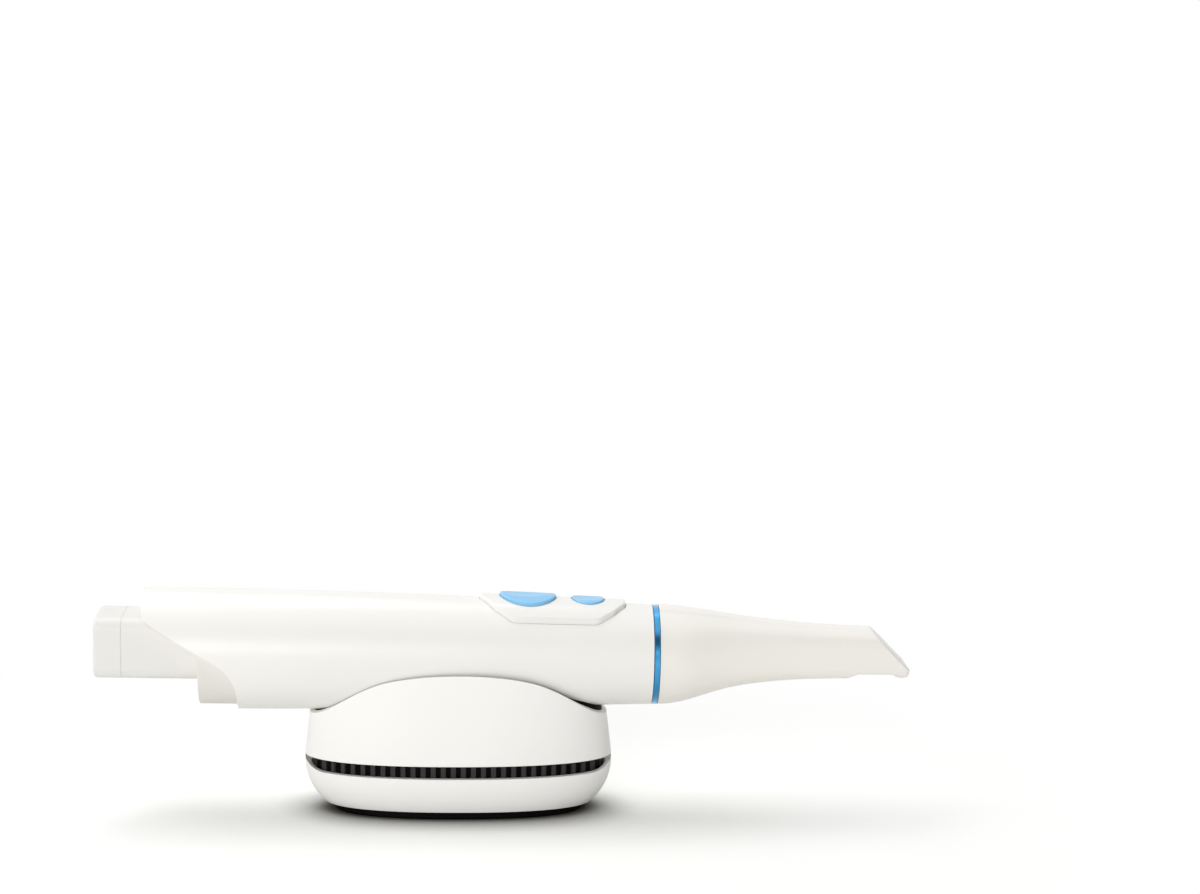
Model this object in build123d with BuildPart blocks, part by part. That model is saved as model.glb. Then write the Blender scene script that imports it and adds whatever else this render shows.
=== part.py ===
"""Wireless intraoral scanner lying in its desk cradle, in millimetres.

The origin is the middle of the cradle's foot on the table.
X runs along the scanner towards its tip and Z is up.
A station is a distance along the scanner's own axis, counted from the middle of the cradle.
A height named on the scanner is counted from that axis, and one named on the cradle from the table.
"""
import os
from math import atan, cos, degrees, pi, radians, sin, sqrt

from build123d import *

os.makedirs("parts", exist_ok=True)

# Working lengths and fits
REACH = 90.0
FIT = 0.15
SEAM = 0.1
SLIDE_FIT = 0.1
PRESS_GAP = 0.3
SOFT_EDGE = 0.3

# Scanner as it lies in the cradle
AXIS_HEIGHT = 56.3
REST_TILT = 0.83

# Handle shell
HANDLE_REAR = -110.5
HANDLE_GRIP = -52.0
HANDLE_WAIST = 0.0
HANDLE_FRONT = 67.9
REAR_RADIUS = 21.1
GRIP_RADIUS = 20.85
WAIST_RADIUS = 19.65
FRONT_RADIUS = 17.5
SHELL_WALL = 1.5

# S-shaped rear edge: an upright, a slope and a second upright, with rounded corners
SLOPE_TOP = 13.6
SLOPE_FOOT = -76.9
SLOPE_END = -5.2
SLOPE_TOP_ROUNDING = 5.0
SLOPE_FOOT_ROUNDING = 16.0

# Rear housing that shows past the shell's rear edge
HOUSING_LIP = 1.1
HOUSING_SETBACK = 0.5
HOUSING_FOOT = -90.4
HOUSING_ROUNDING = 5.0
HOUSING_WALL = 1.6
HOUSING_NOSE = 7.1
BAY_FIT = 0.25
BAY_FLOOR = 2.4

# Battery pack
BATTERY_REAR = -127.2
BATTERY_SEAM = -117.5
BATTERY_WIDTH = 26.0
BATTERY_HEIGHT = 21.6
BATTERY_RISE = 1.8
BATTERY_CORNER = 4.4
BATTERY_WALL = 1.55
BATTERY_END_ROUNDING = 1.2
CELL_DIAMETER = 18.2
CELL_LENGTH = 65.0
CELL_BUTTON_DIAMETER = 6.0
CELL_BUTTON_LENGTH = 1.2
CAP_PLUG = 1.95
TERMINAL_COUNT = 3
TERMINAL_PITCH = 5.0
TERMINAL_WIDTH = 3.0
TERMINAL_HEIGHT = 6.0
TERMINAL_DEPTH = 0.4

# Battery connector
PIN_DIAMETER = 1.4
PIN_REACH = 2.4
CONNECTOR_WIDTH = 17.0
CONNECTOR_HEIGHT = 6.0
CONNECTOR_LENGTH = 5.5
CONNECTOR_RIM = 2.0
CONNECTOR_RIM_DEPTH = 1.4

# Inner frame
FRAME_FRONT = 52.0
BULKHEAD = 2.5
WEB_TOP = 2.5
WEB_BOTTOM = 0.0
FRAME_SHOULDER = 6.0
CABLE_HOLE_DIAMETER = 7.0
CABLE_HOLE_DROP = -11.0

# Main board and its screws
BOARD_THICKNESS = 1.6
BOARD_GAP = 3.5
BOARD_FRONT = 44.0
BOARD_WIDTH = 26.0
BOARD_DROP = 6.0
BOSS_DIAMETER = 5.0
BOSS_INSET = 5.0
BOSS_COUNT = 2
SCREW_DIAMETER = 2.0
SCREW_LENGTH = 5.0
SCREW_HEAD_DIAMETER = 3.8
SCREW_HEAD_HEIGHT = 1.3
CHIP_SIZE = 15.0
CHIP_HEIGHT = 1.8
CHIP_SETBACKS = (18.0, 40.0)
SOCKET_LENGTH = 4.0
SOCKET_HEIGHT = 3.0

# Control pad, with the corner points of one half of its outline: station, half width
PAD_POINTS = ((7.2, 1.8), (12.1, 9.1), (18.6, 13.4), (48.6, 12.5), (54.0, 8.9), (58.4, 3.4))
PAD_CORNER = 5.0
PAD_PROUD = 1.4
PAD_ROUNDING = 0.8
PAD_RIM = 1.0
PAD_RIM_DEPTH = 1.3
PAD_SKIRT = 5.0

# Buttons, a switch under each
SCAN_BUTTON = 24.2
SCAN_BUTTON_HALF_LENGTH = 9.9
SCAN_BUTTON_HALF_WIDTH = 8.5
MODE_BUTTON = 45.3
MODE_BUTTON_RADIUS = 5.8
SCAN_BUTTON_PROUD = 0.95
MODE_BUTTON_PROUD = 0.55
BUTTON_GAP = 0.2
BUTTON_ROUNDING = 0.5
BUTTON_RIM = 0.9
BUTTON_RIM_DEPTH = 1.0
BUTTON_TRAVEL = 0.6
DISH_DEPTH = 0.5
DISH_RADIUS = 46.0
STEM_LENGTH = 0.15
BUTTON_BOARD_THICKNESS = 1.2
BUTTON_BOARD_WIDTH = 18.0
BUTTON_BOARD_MARGIN = 8.0
STUD_DIAMETER = 2.0
SWITCH_SIZE = 6.0
SWITCH_HEIGHT = 3.2
PLUNGER_DIAMETER = 3.2
PLUNGER_HEIGHT = 0.8

# Nose, ring and optics, whose shares of the tip's length are counted from the tip's rear end
RING_WIDTH = 2.1
RING_EDGE = 0.25
NOSE_FLANGE = 6.6
NOSE_BORE = 10.4
NOSE_SEAT_SHARE = 0.134
NOSE_STEP_SHARE = 0.225
NOSE_STEP_RADIUS = 9.8
NOSE_FRONT_SHARE = 0.315
NOSE_FRONT_RADIUS = 8.0
NOSE_WALL = 1.5
WINDOW_THICKNESS = 1.2
WINDOW_LEDGE = 0.8
SEAL_SHARE = 0.066
SEAL_THICKNESS = 1.6
CARRIER_DEPTH = 3.6
CARRIER_RADIUS = 13.0
CAMERA_HEIGHT = 4.2
CAMERA_DIAMETER = 10.0
CAMERA_SHARE = 0.111
CAMERA_BORE = 7.6
LENS_THICKNESS = 2.6
CAMERA_BOARD_SIZE = 17.0
CAMERA_BOARD_THICKNESS = 1.2
PROJECTOR_HEIGHT = -5.9
PROJECTOR_DIAMETER = 8.0
PROJECTOR_SHARE = 0.066
PROJECTOR_BORE = 5.8
PROJECTOR_BLOCK = 9.0
PROJECTOR_BLOCK_LENGTH = 4.0

# Tip, whose setbacks are counted from its front end
TIP_BORE = 13.5
TIP_STEP = 0.05
TIP_WALL = 1.6
TIP_LENGTH = 87.9
TIP_BEVEL_ANGLE = 45.0
TIP_BEVEL_SETBACK = 12.5
TIP_BEVEL_HEIGHT = 9.9
TIP_END_WALL = 1.6
TIP_EDGE = 0.7
TIP_NOSE_ROUNDING = 1.4
MIRROR_THICKNESS = 1.1
MIRROR_WIDTH = 13.0
MIRROR_LENGTH = 12.4
MIRROR_DROP = 9.6
SCAN_WINDOW_SETBACK = 5.1
SCAN_WINDOW_LENGTH = 12.0
SCAN_WINDOW_WIDTH = 13.5
SCAN_WINDOW_CORNER = 2.5
RECESS_SETBACK = 2.7
RECESS_LENGTH = 18.9
RECESS_DEPTH = 2.0
RECESS_HEIGHT = -4.4
RECESS_RUN = 3.4
RECESS_ROUNDING = 2.4
# Tip cross-sections: share of its length, height of the middle, half height, half width, squareness
TIP_COLLAR = (
    (0.0, 0.0, FRONT_RADIUS - TIP_STEP, FRONT_RADIUS - TIP_STEP, 2.0),
    (0.077, 0.1, 16.85, 16.85, 2.0),
)
TIP_NECK = (
    (0.156, 0.7, 15.4, 15.5, 2.1),
    (0.259, 1.55, 13.25, 13.3, 2.3),
    (0.372, 2.0, 11.45, 11.7, 2.6),
    (0.48, 2.15, 10.35, 10.7, 2.8),
    (0.587, 2.1, 9.55, 10.1, 3.0),
    (0.667, 2.0, 9.15, 9.8, 3.1),
    (0.746, 1.9, 8.9, 9.6, 3.2),
    (1.0, 1.8, 8.2, 9.26, 3.29),
)

# Cradle outline, an oval between an ellipse and a rectangle
CRADLE_HALF_LENGTH = 54.2
CRADLE_HALF_WIDTH = 21.8
CRADLE_SQUARENESS = 2.3
CRADLE_WALL = 2.2
OVAL_STEPS = 5

# Upper shell
UPPER_BOTTOM = 20.2
UPPER_TOP = 54.0
UPPER_END_TAPER = 4.0
UPPER_SIDE_TAPER = 0.5
UPPER_TOP_SQUARENESS = 2.6
UPPER_STEP = 1.2
TROUGH_RADIUS = 20.95
TROUGH_HEIGHT = 57.05
# Rim of the upper shell seen from the side, from its end to its middle: share of half length, height
RIM_POINTS = (
    (1.033, 34.5), (0.911, 36.4), (0.828, 38.9), (0.732, 42.4),
    (0.635, 45.7), (0.522, 48.6), (0.382, 50.6), (0.0, 52.3),
)

# Liner
LINER_RECESS = 1.0
LINER_INSET = 3.4
LINER_TOP = 44.5
LINER_FIT = 0.12

# Lower shell
LOWER_LEVELS = (3.0, 4.5, 6.0, 8.5, 11.0, 13.5, 15.5, 17.0, 18.0)
LOWER_FLOOR = 5.4
LOWER_BULGE = 19.5
LOWER_RIM = 15.6
LOWER_RIM_RUN = 7.2
LOWER_RIM_LIFT = 3.4
LEDGE_HEIGHT = 12.5
LEDGE_WIDTH = 2.0

# Vent ring between the shells
VENT_TOP = 24.0
VENT_WALL = 1.6
RIB_SHARE = 0.89
RIB_WIDTH = 1.75
RIB_DEPTH = 0.9
RIB_MARGIN = 0.2
RIB_COUNT = 13

# Foot, ballast and screws
FOOT_HEIGHT = 3.6
FOOT_END_MARGIN = 3.45
FOOT_SIDE_MARGIN = 1.7
FOOT_EDGE = 0.5
BALLAST_THICKNESS = 5.0
CRADLE_BOSS_END_SHARE = 0.517
CRADLE_BOSS_SIDE_SHARE = 0.32
CRADLE_BOSS_DIAMETER = 7.0
CRADLE_BOSS_SPLIT = 9.0
CRADLE_SCREW_DIAMETER = 3.0
CRADLE_SCREW_DEPTH = 8.0
CRADLE_SCREW_HEAD_DIAMETER = 5.6
CRADLE_SCREW_HEAD_HEIGHT = 2.0

# Planes of the scanner
tilt = radians(REST_TILT)
scanner = Plane(
    origin=(0, 0, AXIS_HEIGHT), x_dir=(cos(tilt), 0, -sin(tilt)), z_dir=(sin(tilt), 0, cos(tilt))
)
side = Plane(origin=scanner.origin, x_dir=scanner.x_dir, z_dir=-scanner.y_dir)
long_axis = Axis(scanner.origin, scanner.x_dir)


def across(station, height=0.0):
    """Plane across the scanner at a station, with Y and up as its axes, facing the tip."""
    origin = scanner.from_local_coords((station, 0, height))
    return Plane(origin=origin, x_dir=scanner.y_dir, z_dir=scanner.x_dir)


def level(height):
    """Plane along the scanner at a height above its axis."""
    return scanner.offset(height)


HANDLE_POINTS = (
    (HANDLE_REAR, REAR_RADIUS),
    (HANDLE_GRIP, GRIP_RADIUS),
    (HANDLE_WAIST, WAIST_RADIUS),
    (HANDLE_FRONT, FRONT_RADIUS),
)


def handle_form(growth):
    """Solid of revolution of the handle's outline, with every radius grown by one amount."""
    with BuildPart() as form:
        with BuildSketch(side):
            with BuildLine():
                outline = Spline(*[(station, radius + growth) for station, radius in HANDLE_POINTS])
                Polyline(outline @ 1, (HANDLE_FRONT, 0), (HANDLE_REAR, 0), outline @ 0)
            make_face()
        revolve(axis=long_axis)
    return form.part


def handle_radius(station):
    """Radius of the handle's outside at a station."""
    outline = Spline(*HANDLE_POINTS)
    upright = Line((station, 0), (station, REACH))
    return outline.edge().intersect(upright.edge()).vertices()[0].Y


def half_oval(half_length, half_width, squareness=CRADLE_SQUARENESS):
    """Half of an oval that runs from an ellipse, at a squareness of two, towards a rectangle."""
    points = []
    for step in range(-OVAL_STEPS, OVAL_STEPS + 1):
        turn = pi / 2 * step / OVAL_STEPS
        reach = (abs(cos(turn)) ** squareness + abs(sin(turn)) ** squareness) ** (-1 / squareness)
        points.append((half_length * reach * cos(turn), half_width * reach * sin(turn)))
    with BuildSketch() as face:
        with BuildLine():
            bow = Spline(*points, tangents=((1, 0), (-1, 0)))
            Line(bow @ 1, bow @ 0)
        make_face()
    return face.sketch


def oval(half_length, half_width):
    """Face of a whole oval of the cradle."""
    with BuildSketch() as face:
        add(half_oval(half_length, half_width))
        mirror(about=Plane.YZ)
    return face.sketch


slope = (SLOPE_END - SLOPE_TOP) / (SLOPE_FOOT - HANDLE_REAR)
slope_cosine = cos(atan(slope))


def tail_cut(rear, foot, drop, top_rounding, foot_rounding):
    """All that lies behind an S-shaped rear edge whose slope is lowered by a drop, seen from the side."""
    top_height = SLOPE_TOP + slope * (rear - HANDLE_REAR) - drop
    foot_height = SLOPE_TOP + slope * (foot - HANDLE_REAR) - drop
    corners = ((rear, REACH), (rear, top_height), (foot, foot_height), (foot, -REACH))
    behind = HANDLE_REAR - REACH
    with BuildSketch() as cut:
        with BuildLine():
            edge = FilletPolyline(*corners, radius=(top_rounding, foot_rounding))
            Polyline(edge @ 1, (behind, -REACH), (behind, REACH), edge @ 0)
        make_face()
    return cut.sketch


def pad_outline(growth):
    """The control pad's outline, a long rounded polygon, grown by an amount."""
    other_half = [(station, -width) for station, width in reversed(PAD_POINTS)]
    with BuildSketch() as outline:
        with BuildLine():
            FilletPolyline(*PAD_POINTS, *other_half, radius=PAD_CORNER, close=True)
        make_face()
        if growth:
            offset(amount=growth)
    return outline.sketch


def scan_outline(growth):
    """The scan button's outline, grown by an amount."""
    with BuildSketch() as outline:
        with Locations((SCAN_BUTTON, 0)):
            Ellipse(SCAN_BUTTON_HALF_LENGTH + growth, SCAN_BUTTON_HALF_WIDTH + growth)
    return outline.sketch


def mode_outline(growth):
    """The mode button's outline, grown by an amount."""
    with BuildSketch() as outline:
        with Locations((MODE_BUTTON, 0)):
            Circle(MODE_BUTTON_RADIUS + growth)
    return outline.sketch


def battery_section(growth):
    """The battery's rounded section, grown by an amount."""
    with BuildSketch() as section:
        with Locations((0, BATTERY_RISE)):
            RectangleRounded(BATTERY_WIDTH + 2 * growth, BATTERY_HEIGHT + 2 * growth, BATTERY_CORNER + growth)
    return section.sketch


# Solids that several pieces share
shell_outside = handle_form(0)
shell_inside = handle_form(-SHELL_WALL)
inner_form = handle_form(-SHELL_WALL - FIT)
pad_surface = handle_form(PAD_PROUD)
pad_underside = handle_form(-SHELL_WALL - FIT - PAD_RIM_DEPTH)

# Handle shell: a tapered sleeve with the S-shaped rear edge and the opening for the pad
with BuildPart() as handle_shell:
    add(shell_outside)
    add(shell_inside, mode=Mode.SUBTRACT)
    with BuildSketch(side):
        add(tail_cut(HANDLE_REAR, SLOPE_FOOT, 0, SLOPE_TOP_ROUNDING, SLOPE_FOOT_ROUNDING))
    extrude(amount=REACH, both=True, mode=Mode.SUBTRACT)
    with BuildSketch(level(0)):
        add(pad_outline(FIT))
    extrude(amount=REACH, mode=Mode.SUBTRACT)
handle_shell.part.label = "handle_shell"
export_step(handle_shell.part, "parts/handle_shell.step")

# Rear housing: a thin-walled sleeve inside the shell, with the bay that the battery slides into
lip_drop = HOUSING_LIP / slope_cosine
wall_rise = HOUSING_WALL / slope_cosine
cell_rear = BATTERY_SEAM + CAP_PLUG + FIT
cell_front = cell_rear + CELL_LENGTH + CELL_BUTTON_LENGTH
battery_front = cell_front + FIT + BATTERY_WALL
bay_end = battery_front + PIN_REACH
housing_front = bay_end + HOUSING_NOSE
housing_rear = HANDLE_REAR + HOUSING_SETBACK
core_rear = housing_rear + HOUSING_WALL
core_foot = HOUSING_FOOT + HOUSING_WALL
with BuildPart() as housing_core:
    add(handle_form(-SHELL_WALL - FIT - HOUSING_WALL))
    with BuildSketch(side):
        add(tail_cut(core_rear, core_foot, lip_drop - wall_rise, HOUSING_ROUNDING, HOUSING_ROUNDING))
    extrude(amount=REACH, both=True, mode=Mode.SUBTRACT)
    with BuildSketch(across(bay_end + BAY_FLOOR)):
        add(battery_section(BAY_FIT + HOUSING_WALL))
    extrude(amount=-REACH, mode=Mode.SUBTRACT)
with BuildPart() as rear_housing:
    add(inner_form)
    split(bisect_by=across(housing_front), keep=Keep.BOTTOM)
    with BuildSketch(side):
        add(tail_cut(housing_rear, HOUSING_FOOT, lip_drop, HOUSING_ROUNDING, HOUSING_ROUNDING))
    extrude(amount=REACH, both=True, mode=Mode.SUBTRACT)
    add(housing_core.part, mode=Mode.SUBTRACT)
    with BuildSketch(across(bay_end)):
        add(battery_section(BAY_FIT))
    extrude(amount=-REACH, mode=Mode.SUBTRACT)
    with BuildSketch(across(bay_end, BATTERY_RISE)):
        Rectangle(CONNECTOR_WIDTH + 2 * FIT, CONNECTOR_HEIGHT + 2 * FIT)
    extrude(amount=BAY_FLOOR, mode=Mode.SUBTRACT)
rear_housing.part.label = "rear_housing"
export_step(rear_housing.part, "parts/rear_housing.step")

# Battery connector: a block through the bay's floor, with a front rim and sprung pins for the battery
with BuildPart() as battery_connector:
    with BuildSketch(across(bay_end, BATTERY_RISE)):
        Rectangle(CONNECTOR_WIDTH, CONNECTOR_HEIGHT)
    extrude(amount=CONNECTOR_LENGTH)
    with BuildSketch(across(bay_end + BAY_FLOOR, BATTERY_RISE)):
        Rectangle(CONNECTOR_WIDTH + 2 * CONNECTOR_RIM, CONNECTOR_HEIGHT + 2 * CONNECTOR_RIM)
    extrude(amount=CONNECTOR_RIM_DEPTH)
    with BuildSketch(across(bay_end, BATTERY_RISE)):
        with GridLocations(TERMINAL_PITCH, 1, TERMINAL_COUNT, 1):
            Circle(PIN_DIAMETER / 2)
    extrude(amount=FIT - PIN_REACH)
battery_connector.part.label = "battery_connector"
export_step(battery_connector.part, "parts/battery_connector.step")

# Battery case: a tube with a closed front that carries the contacts
with BuildPart() as battery_case:
    with BuildSketch(across(BATTERY_SEAM)):
        add(battery_section(0))
    extrude(amount=battery_front - BATTERY_SEAM)
    chamfer(battery_case.faces().sort_by(Axis.X)[0].edges(), SEAM)
    with BuildSketch(across(BATTERY_SEAM)):
        add(battery_section(-BATTERY_WALL))
    extrude(amount=battery_front - BATTERY_WALL - BATTERY_SEAM, mode=Mode.SUBTRACT)
    with BuildSketch(across(battery_front, BATTERY_RISE)):
        with GridLocations(TERMINAL_PITCH, 1, TERMINAL_COUNT, 1):
            Rectangle(TERMINAL_WIDTH, TERMINAL_HEIGHT)
    extrude(amount=-TERMINAL_DEPTH, mode=Mode.SUBTRACT)
battery_case.part.label = "battery_case"
export_step(battery_case.part, "parts/battery_case.step")

# Battery contacts, set flush in the case's front
with BuildPart() as battery_terminals:
    with BuildSketch(across(battery_front - TERMINAL_DEPTH, BATTERY_RISE)):
        with GridLocations(TERMINAL_PITCH, 1, TERMINAL_COUNT, 1):
            Rectangle(TERMINAL_WIDTH, TERMINAL_HEIGHT)
    extrude(amount=TERMINAL_DEPTH)
battery_terminals.part.label = "battery_terminals"
export_step(battery_terminals.part, "parts/battery_terminals.step")

# Battery cell: a round cell with its raised pole towards the contacts
with BuildPart() as battery_cell:
    with BuildSketch(across(cell_rear, BATTERY_RISE)):
        Circle(CELL_DIAMETER / 2)
    extrude(amount=CELL_LENGTH)
    fillet(battery_cell.edges().filter_by(GeomType.CIRCLE), SOFT_EDGE)
    with BuildSketch(across(cell_rear + CELL_LENGTH, BATTERY_RISE)):
        Circle(CELL_BUTTON_DIAMETER / 2)
    extrude(amount=CELL_BUTTON_LENGTH)
battery_cell.part.label = "battery_cell"
export_step(battery_cell.part, "parts/battery_cell.step")

# Battery cap: the tail's rounded end, with a plug that closes the case behind the cell
with BuildPart() as battery_cap:
    with BuildSketch(across(BATTERY_SEAM)):
        add(battery_section(0))
    extrude(amount=BATTERY_REAR - BATTERY_SEAM)
    fillet(battery_cap.faces().sort_by(Axis.X)[0].edges(), BATTERY_END_ROUNDING)
    chamfer(battery_cap.faces().sort_by(Axis.X)[-1].edges(), SEAM)
    with BuildSketch(across(BATTERY_SEAM)):
        add(battery_section(-BATTERY_WALL - FIT))
    extrude(amount=cell_rear - FIT - BATTERY_SEAM)
battery_cap.part.label = "battery_cap"
export_step(battery_cap.part, "parts/battery_cap.step")

# Inner frame: a web between two bulkheads, with bosses for both boards
rim_growth = -SHELL_WALL - FIT - PAD_RIM_DEPTH - PRESS_GAP
stem_bottom = handle_radius(MODE_BUTTON) + rim_growth - BUTTON_RIM_DEPTH - STEM_LENGTH
switch_top = stem_bottom - BUTTON_TRAVEL - FIT
switch_seat = switch_top - PLUNGER_HEIGHT - SWITCH_HEIGHT
button_board_bottom = switch_seat - BUTTON_BOARD_THICKNESS
board_rear = housing_front + BULKHEAD + BOARD_GAP
board_middle = (board_rear + BOARD_FRONT) / 2
boss_spacing = (BOARD_FRONT - board_rear - 2 * BOSS_INSET, BOARD_WIDTH - 2 * BOSS_INSET)
button_board_rear = SCAN_BUTTON - SCAN_BUTTON_HALF_LENGTH - BUTTON_BOARD_MARGIN / 2
button_board_front = MODE_BUTTON + MODE_BUTTON_RADIUS
button_board_middle = (button_board_rear + button_board_front) / 2
button_board_length = button_board_front - button_board_rear
stud_spacing = (button_board_length - BUTTON_BOARD_MARGIN, BUTTON_BOARD_WIDTH - BOSS_DIAMETER)
with BuildPart() as inner_frame:
    add(inner_form)
    with BuildSketch(side):
        with BuildLine():
            Polyline(
                (housing_front, -REACH), (housing_front + BULKHEAD, -REACH),
                (housing_front + BULKHEAD, WEB_BOTTOM), (FRAME_FRONT - BULKHEAD, WEB_BOTTOM),
                (FRAME_FRONT - BULKHEAD, -REACH), (FRAME_FRONT, -REACH),
                (FRAME_FRONT, FRAME_SHOULDER), (FRAME_FRONT - BULKHEAD, FRAME_SHOULDER),
                (FRAME_FRONT - BULKHEAD, WEB_TOP), (housing_front + BULKHEAD, WEB_TOP),
                (housing_front + BULKHEAD, REACH), (housing_front, REACH),
                close=True,
            )
        make_face()
    extrude(amount=REACH, both=True, mode=Mode.INTERSECT)
    with BuildSketch(level(WEB_BOTTOM)):
        with Locations((board_middle, 0)):
            with GridLocations(*boss_spacing, BOSS_COUNT, BOSS_COUNT):
                Circle(BOSS_DIAMETER / 2)
    extrude(amount=-BOARD_DROP)
    with BuildSketch(level(WEB_BOTTOM - BOARD_DROP)):
        with Locations((board_middle, 0)):
            with GridLocations(*boss_spacing, BOSS_COUNT, BOSS_COUNT):
                Circle(SCREW_DIAMETER / 2)
    extrude(amount=SCREW_LENGTH, mode=Mode.SUBTRACT)
    with BuildSketch(level(WEB_TOP)):
        with Locations((button_board_middle, 0)):
            with GridLocations(*stud_spacing, BOSS_COUNT, BOSS_COUNT):
                Circle(BOSS_DIAMETER / 2)
    extrude(amount=button_board_bottom - WEB_TOP)
    with BuildSketch(level(button_board_bottom)):
        with Locations((button_board_middle, 0)):
            with GridLocations(*stud_spacing, BOSS_COUNT, BOSS_COUNT):
                Circle(STUD_DIAMETER / 2)
    extrude(amount=BUTTON_BOARD_THICKNESS + FIT)
    with BuildSketch(across(housing_front, CABLE_HOLE_DROP)):
        Circle(CABLE_HOLE_DIAMETER / 2)
    extrude(amount=FRAME_FRONT - housing_front, mode=Mode.SUBTRACT)
inner_frame.part.label = "inner_frame"
export_step(inner_frame.part, "parts/inner_frame.step")

# Main board with its chips and the sockets at its ends
board_top = WEB_BOTTOM - BOARD_DROP
with BuildPart() as main_board:
    with BuildSketch(level(board_top)):
        with Locations((board_middle, 0)):
            Rectangle(BOARD_FRONT - board_rear, BOARD_WIDTH)
            with GridLocations(*boss_spacing, BOSS_COUNT, BOSS_COUNT):
                Circle(SCREW_DIAMETER / 2 + FIT, mode=Mode.SUBTRACT)
    extrude(amount=-BOARD_THICKNESS)
    with BuildSketch(level(board_top)):
        with Locations(*[(board_rear + setback, 0) for setback in CHIP_SETBACKS]):
            Rectangle(CHIP_SIZE, CHIP_SIZE)
    extrude(amount=CHIP_HEIGHT)
    with BuildSketch(level(board_top)):
        with Locations((board_rear + SOCKET_LENGTH, 0), (BOARD_FRONT - SOCKET_LENGTH, 0)):
            Rectangle(SOCKET_LENGTH, boss_spacing[1] - BOSS_DIAMETER - SOCKET_LENGTH)
    extrude(amount=SOCKET_HEIGHT)
main_board.part.label = "main_board"
export_step(main_board.part, "parts/main_board.step")

# Board screws, from below through the board into the frame's bosses
with BuildPart() as board_screws:
    with BuildSketch(level(board_top - BOARD_THICKNESS)):
        with Locations((board_middle, 0)):
            with GridLocations(*boss_spacing, BOSS_COUNT, BOSS_COUNT):
                Circle(SCREW_HEAD_DIAMETER / 2)
    extrude(amount=-SCREW_HEAD_HEIGHT)
    with BuildSketch(level(board_top - BOARD_THICKNESS)):
        with Locations((board_middle, 0)):
            with GridLocations(*boss_spacing, BOSS_COUNT, BOSS_COUNT):
                Circle(SCREW_DIAMETER / 2)
    extrude(amount=SCREW_LENGTH)
board_screws.part.label = "board_screws"
export_step(board_screws.part, "parts/board_screws.step")

# Control pad: a plug through the shell with a rim behind it, and the holes for both buttons
with BuildPart() as pad_rim:
    with BuildSketch(level(PAD_SKIRT)):
        add(pad_outline(PAD_RIM))
    extrude(amount=REACH)
    add(inner_form, mode=Mode.INTERSECT)
with BuildPart() as control_pad:
    with BuildSketch(level(0)):
        add(pad_outline(0))
    extrude(amount=REACH)
    add(pad_surface, mode=Mode.INTERSECT)
    fillet(control_pad.faces().sort_by(Axis.Z)[-1].edges(), PAD_ROUNDING)
    add(pad_rim.part)
    add(pad_underside, mode=Mode.SUBTRACT)
    with BuildSketch(level(0)):
        add(scan_outline(BUTTON_GAP))
        add(mode_outline(BUTTON_GAP))
    extrude(amount=REACH, mode=Mode.SUBTRACT)
control_pad.part.label = "control_pad"
export_step(control_pad.part, "parts/control_pad.step")

# Button board on the frame's studs
with BuildPart() as button_board:
    with BuildSketch(level(button_board_bottom)):
        with Locations((button_board_middle, 0)):
            Rectangle(button_board_length, BUTTON_BOARD_WIDTH)
            with GridLocations(*stud_spacing, BOSS_COUNT, BOSS_COUNT):
                Circle(STUD_DIAMETER / 2 + FIT, mode=Mode.SUBTRACT)
    extrude(amount=BUTTON_BOARD_THICKNESS)
button_board.part.label = "button_board"
export_step(button_board.part, "parts/button_board.step")

# Switches, one under each button
with BuildPart() as tact_switches:
    with BuildSketch(level(switch_seat)):
        with Locations((SCAN_BUTTON, 0), (MODE_BUTTON, 0)):
            Rectangle(SWITCH_SIZE, SWITCH_SIZE)
    extrude(amount=SWITCH_HEIGHT)
    with BuildSketch(level(switch_seat + SWITCH_HEIGHT)):
        with Locations((SCAN_BUTTON, 0), (MODE_BUTTON, 0)):
            Circle(PLUNGER_DIAMETER / 2)
    extrude(amount=PLUNGER_HEIGHT)
tact_switches.part.label = "tact_switches"
export_step(tact_switches.part, "parts/tact_switches.step")

# Buttons: a cap through the pad, a rim that holds it in and a stem over its switch
rim_surface = handle_form(rim_growth)
rim_underside = handle_form(rim_growth - BUTTON_RIM_DEPTH)


def button(outline, station, proud):
    """Cap, rim and stem of the button with an outline function, over the switch at a station."""
    cap_growth = PAD_PROUD + proud
    cap_height = handle_radius(station) + cap_growth
    rim_height = handle_radius(station) + rim_growth
    with BuildPart() as rim:
        with BuildSketch(level(0)):
            add(outline(BUTTON_RIM))
        extrude(amount=REACH)
        add(rim_surface, mode=Mode.INTERSECT)
    with BuildPart() as cap:
        with BuildSketch(level(0)):
            add(outline(0))
        extrude(amount=REACH)
        add(handle_form(cap_growth), mode=Mode.INTERSECT)
        fillet(cap.faces().sort_by(Axis.Z)[-1].edges(), BUTTON_ROUNDING)
        add(rim.part)
        add(rim_underside, mode=Mode.SUBTRACT)
        with Locations(scanner.from_local_coords((station, 0, cap_height + DISH_RADIUS - DISH_DEPTH))):
            Sphere(DISH_RADIUS, mode=Mode.SUBTRACT)
        with BuildSketch(level(stem_bottom)):
            with Locations((station, 0)):
                Circle(PLUNGER_DIAMETER / 2)
        extrude(amount=rim_height - stem_bottom)
    return cap.part


scan_button = button(scan_outline, SCAN_BUTTON, SCAN_BUTTON_PROUD)
scan_button.label = "scan_button"
export_step(scan_button, "parts/scan_button.step")

mode_button = button(mode_outline, MODE_BUTTON, MODE_BUTTON_PROUD)
mode_button.label = "mode_button"
export_step(mode_button, "parts/mode_button.step")

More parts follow.
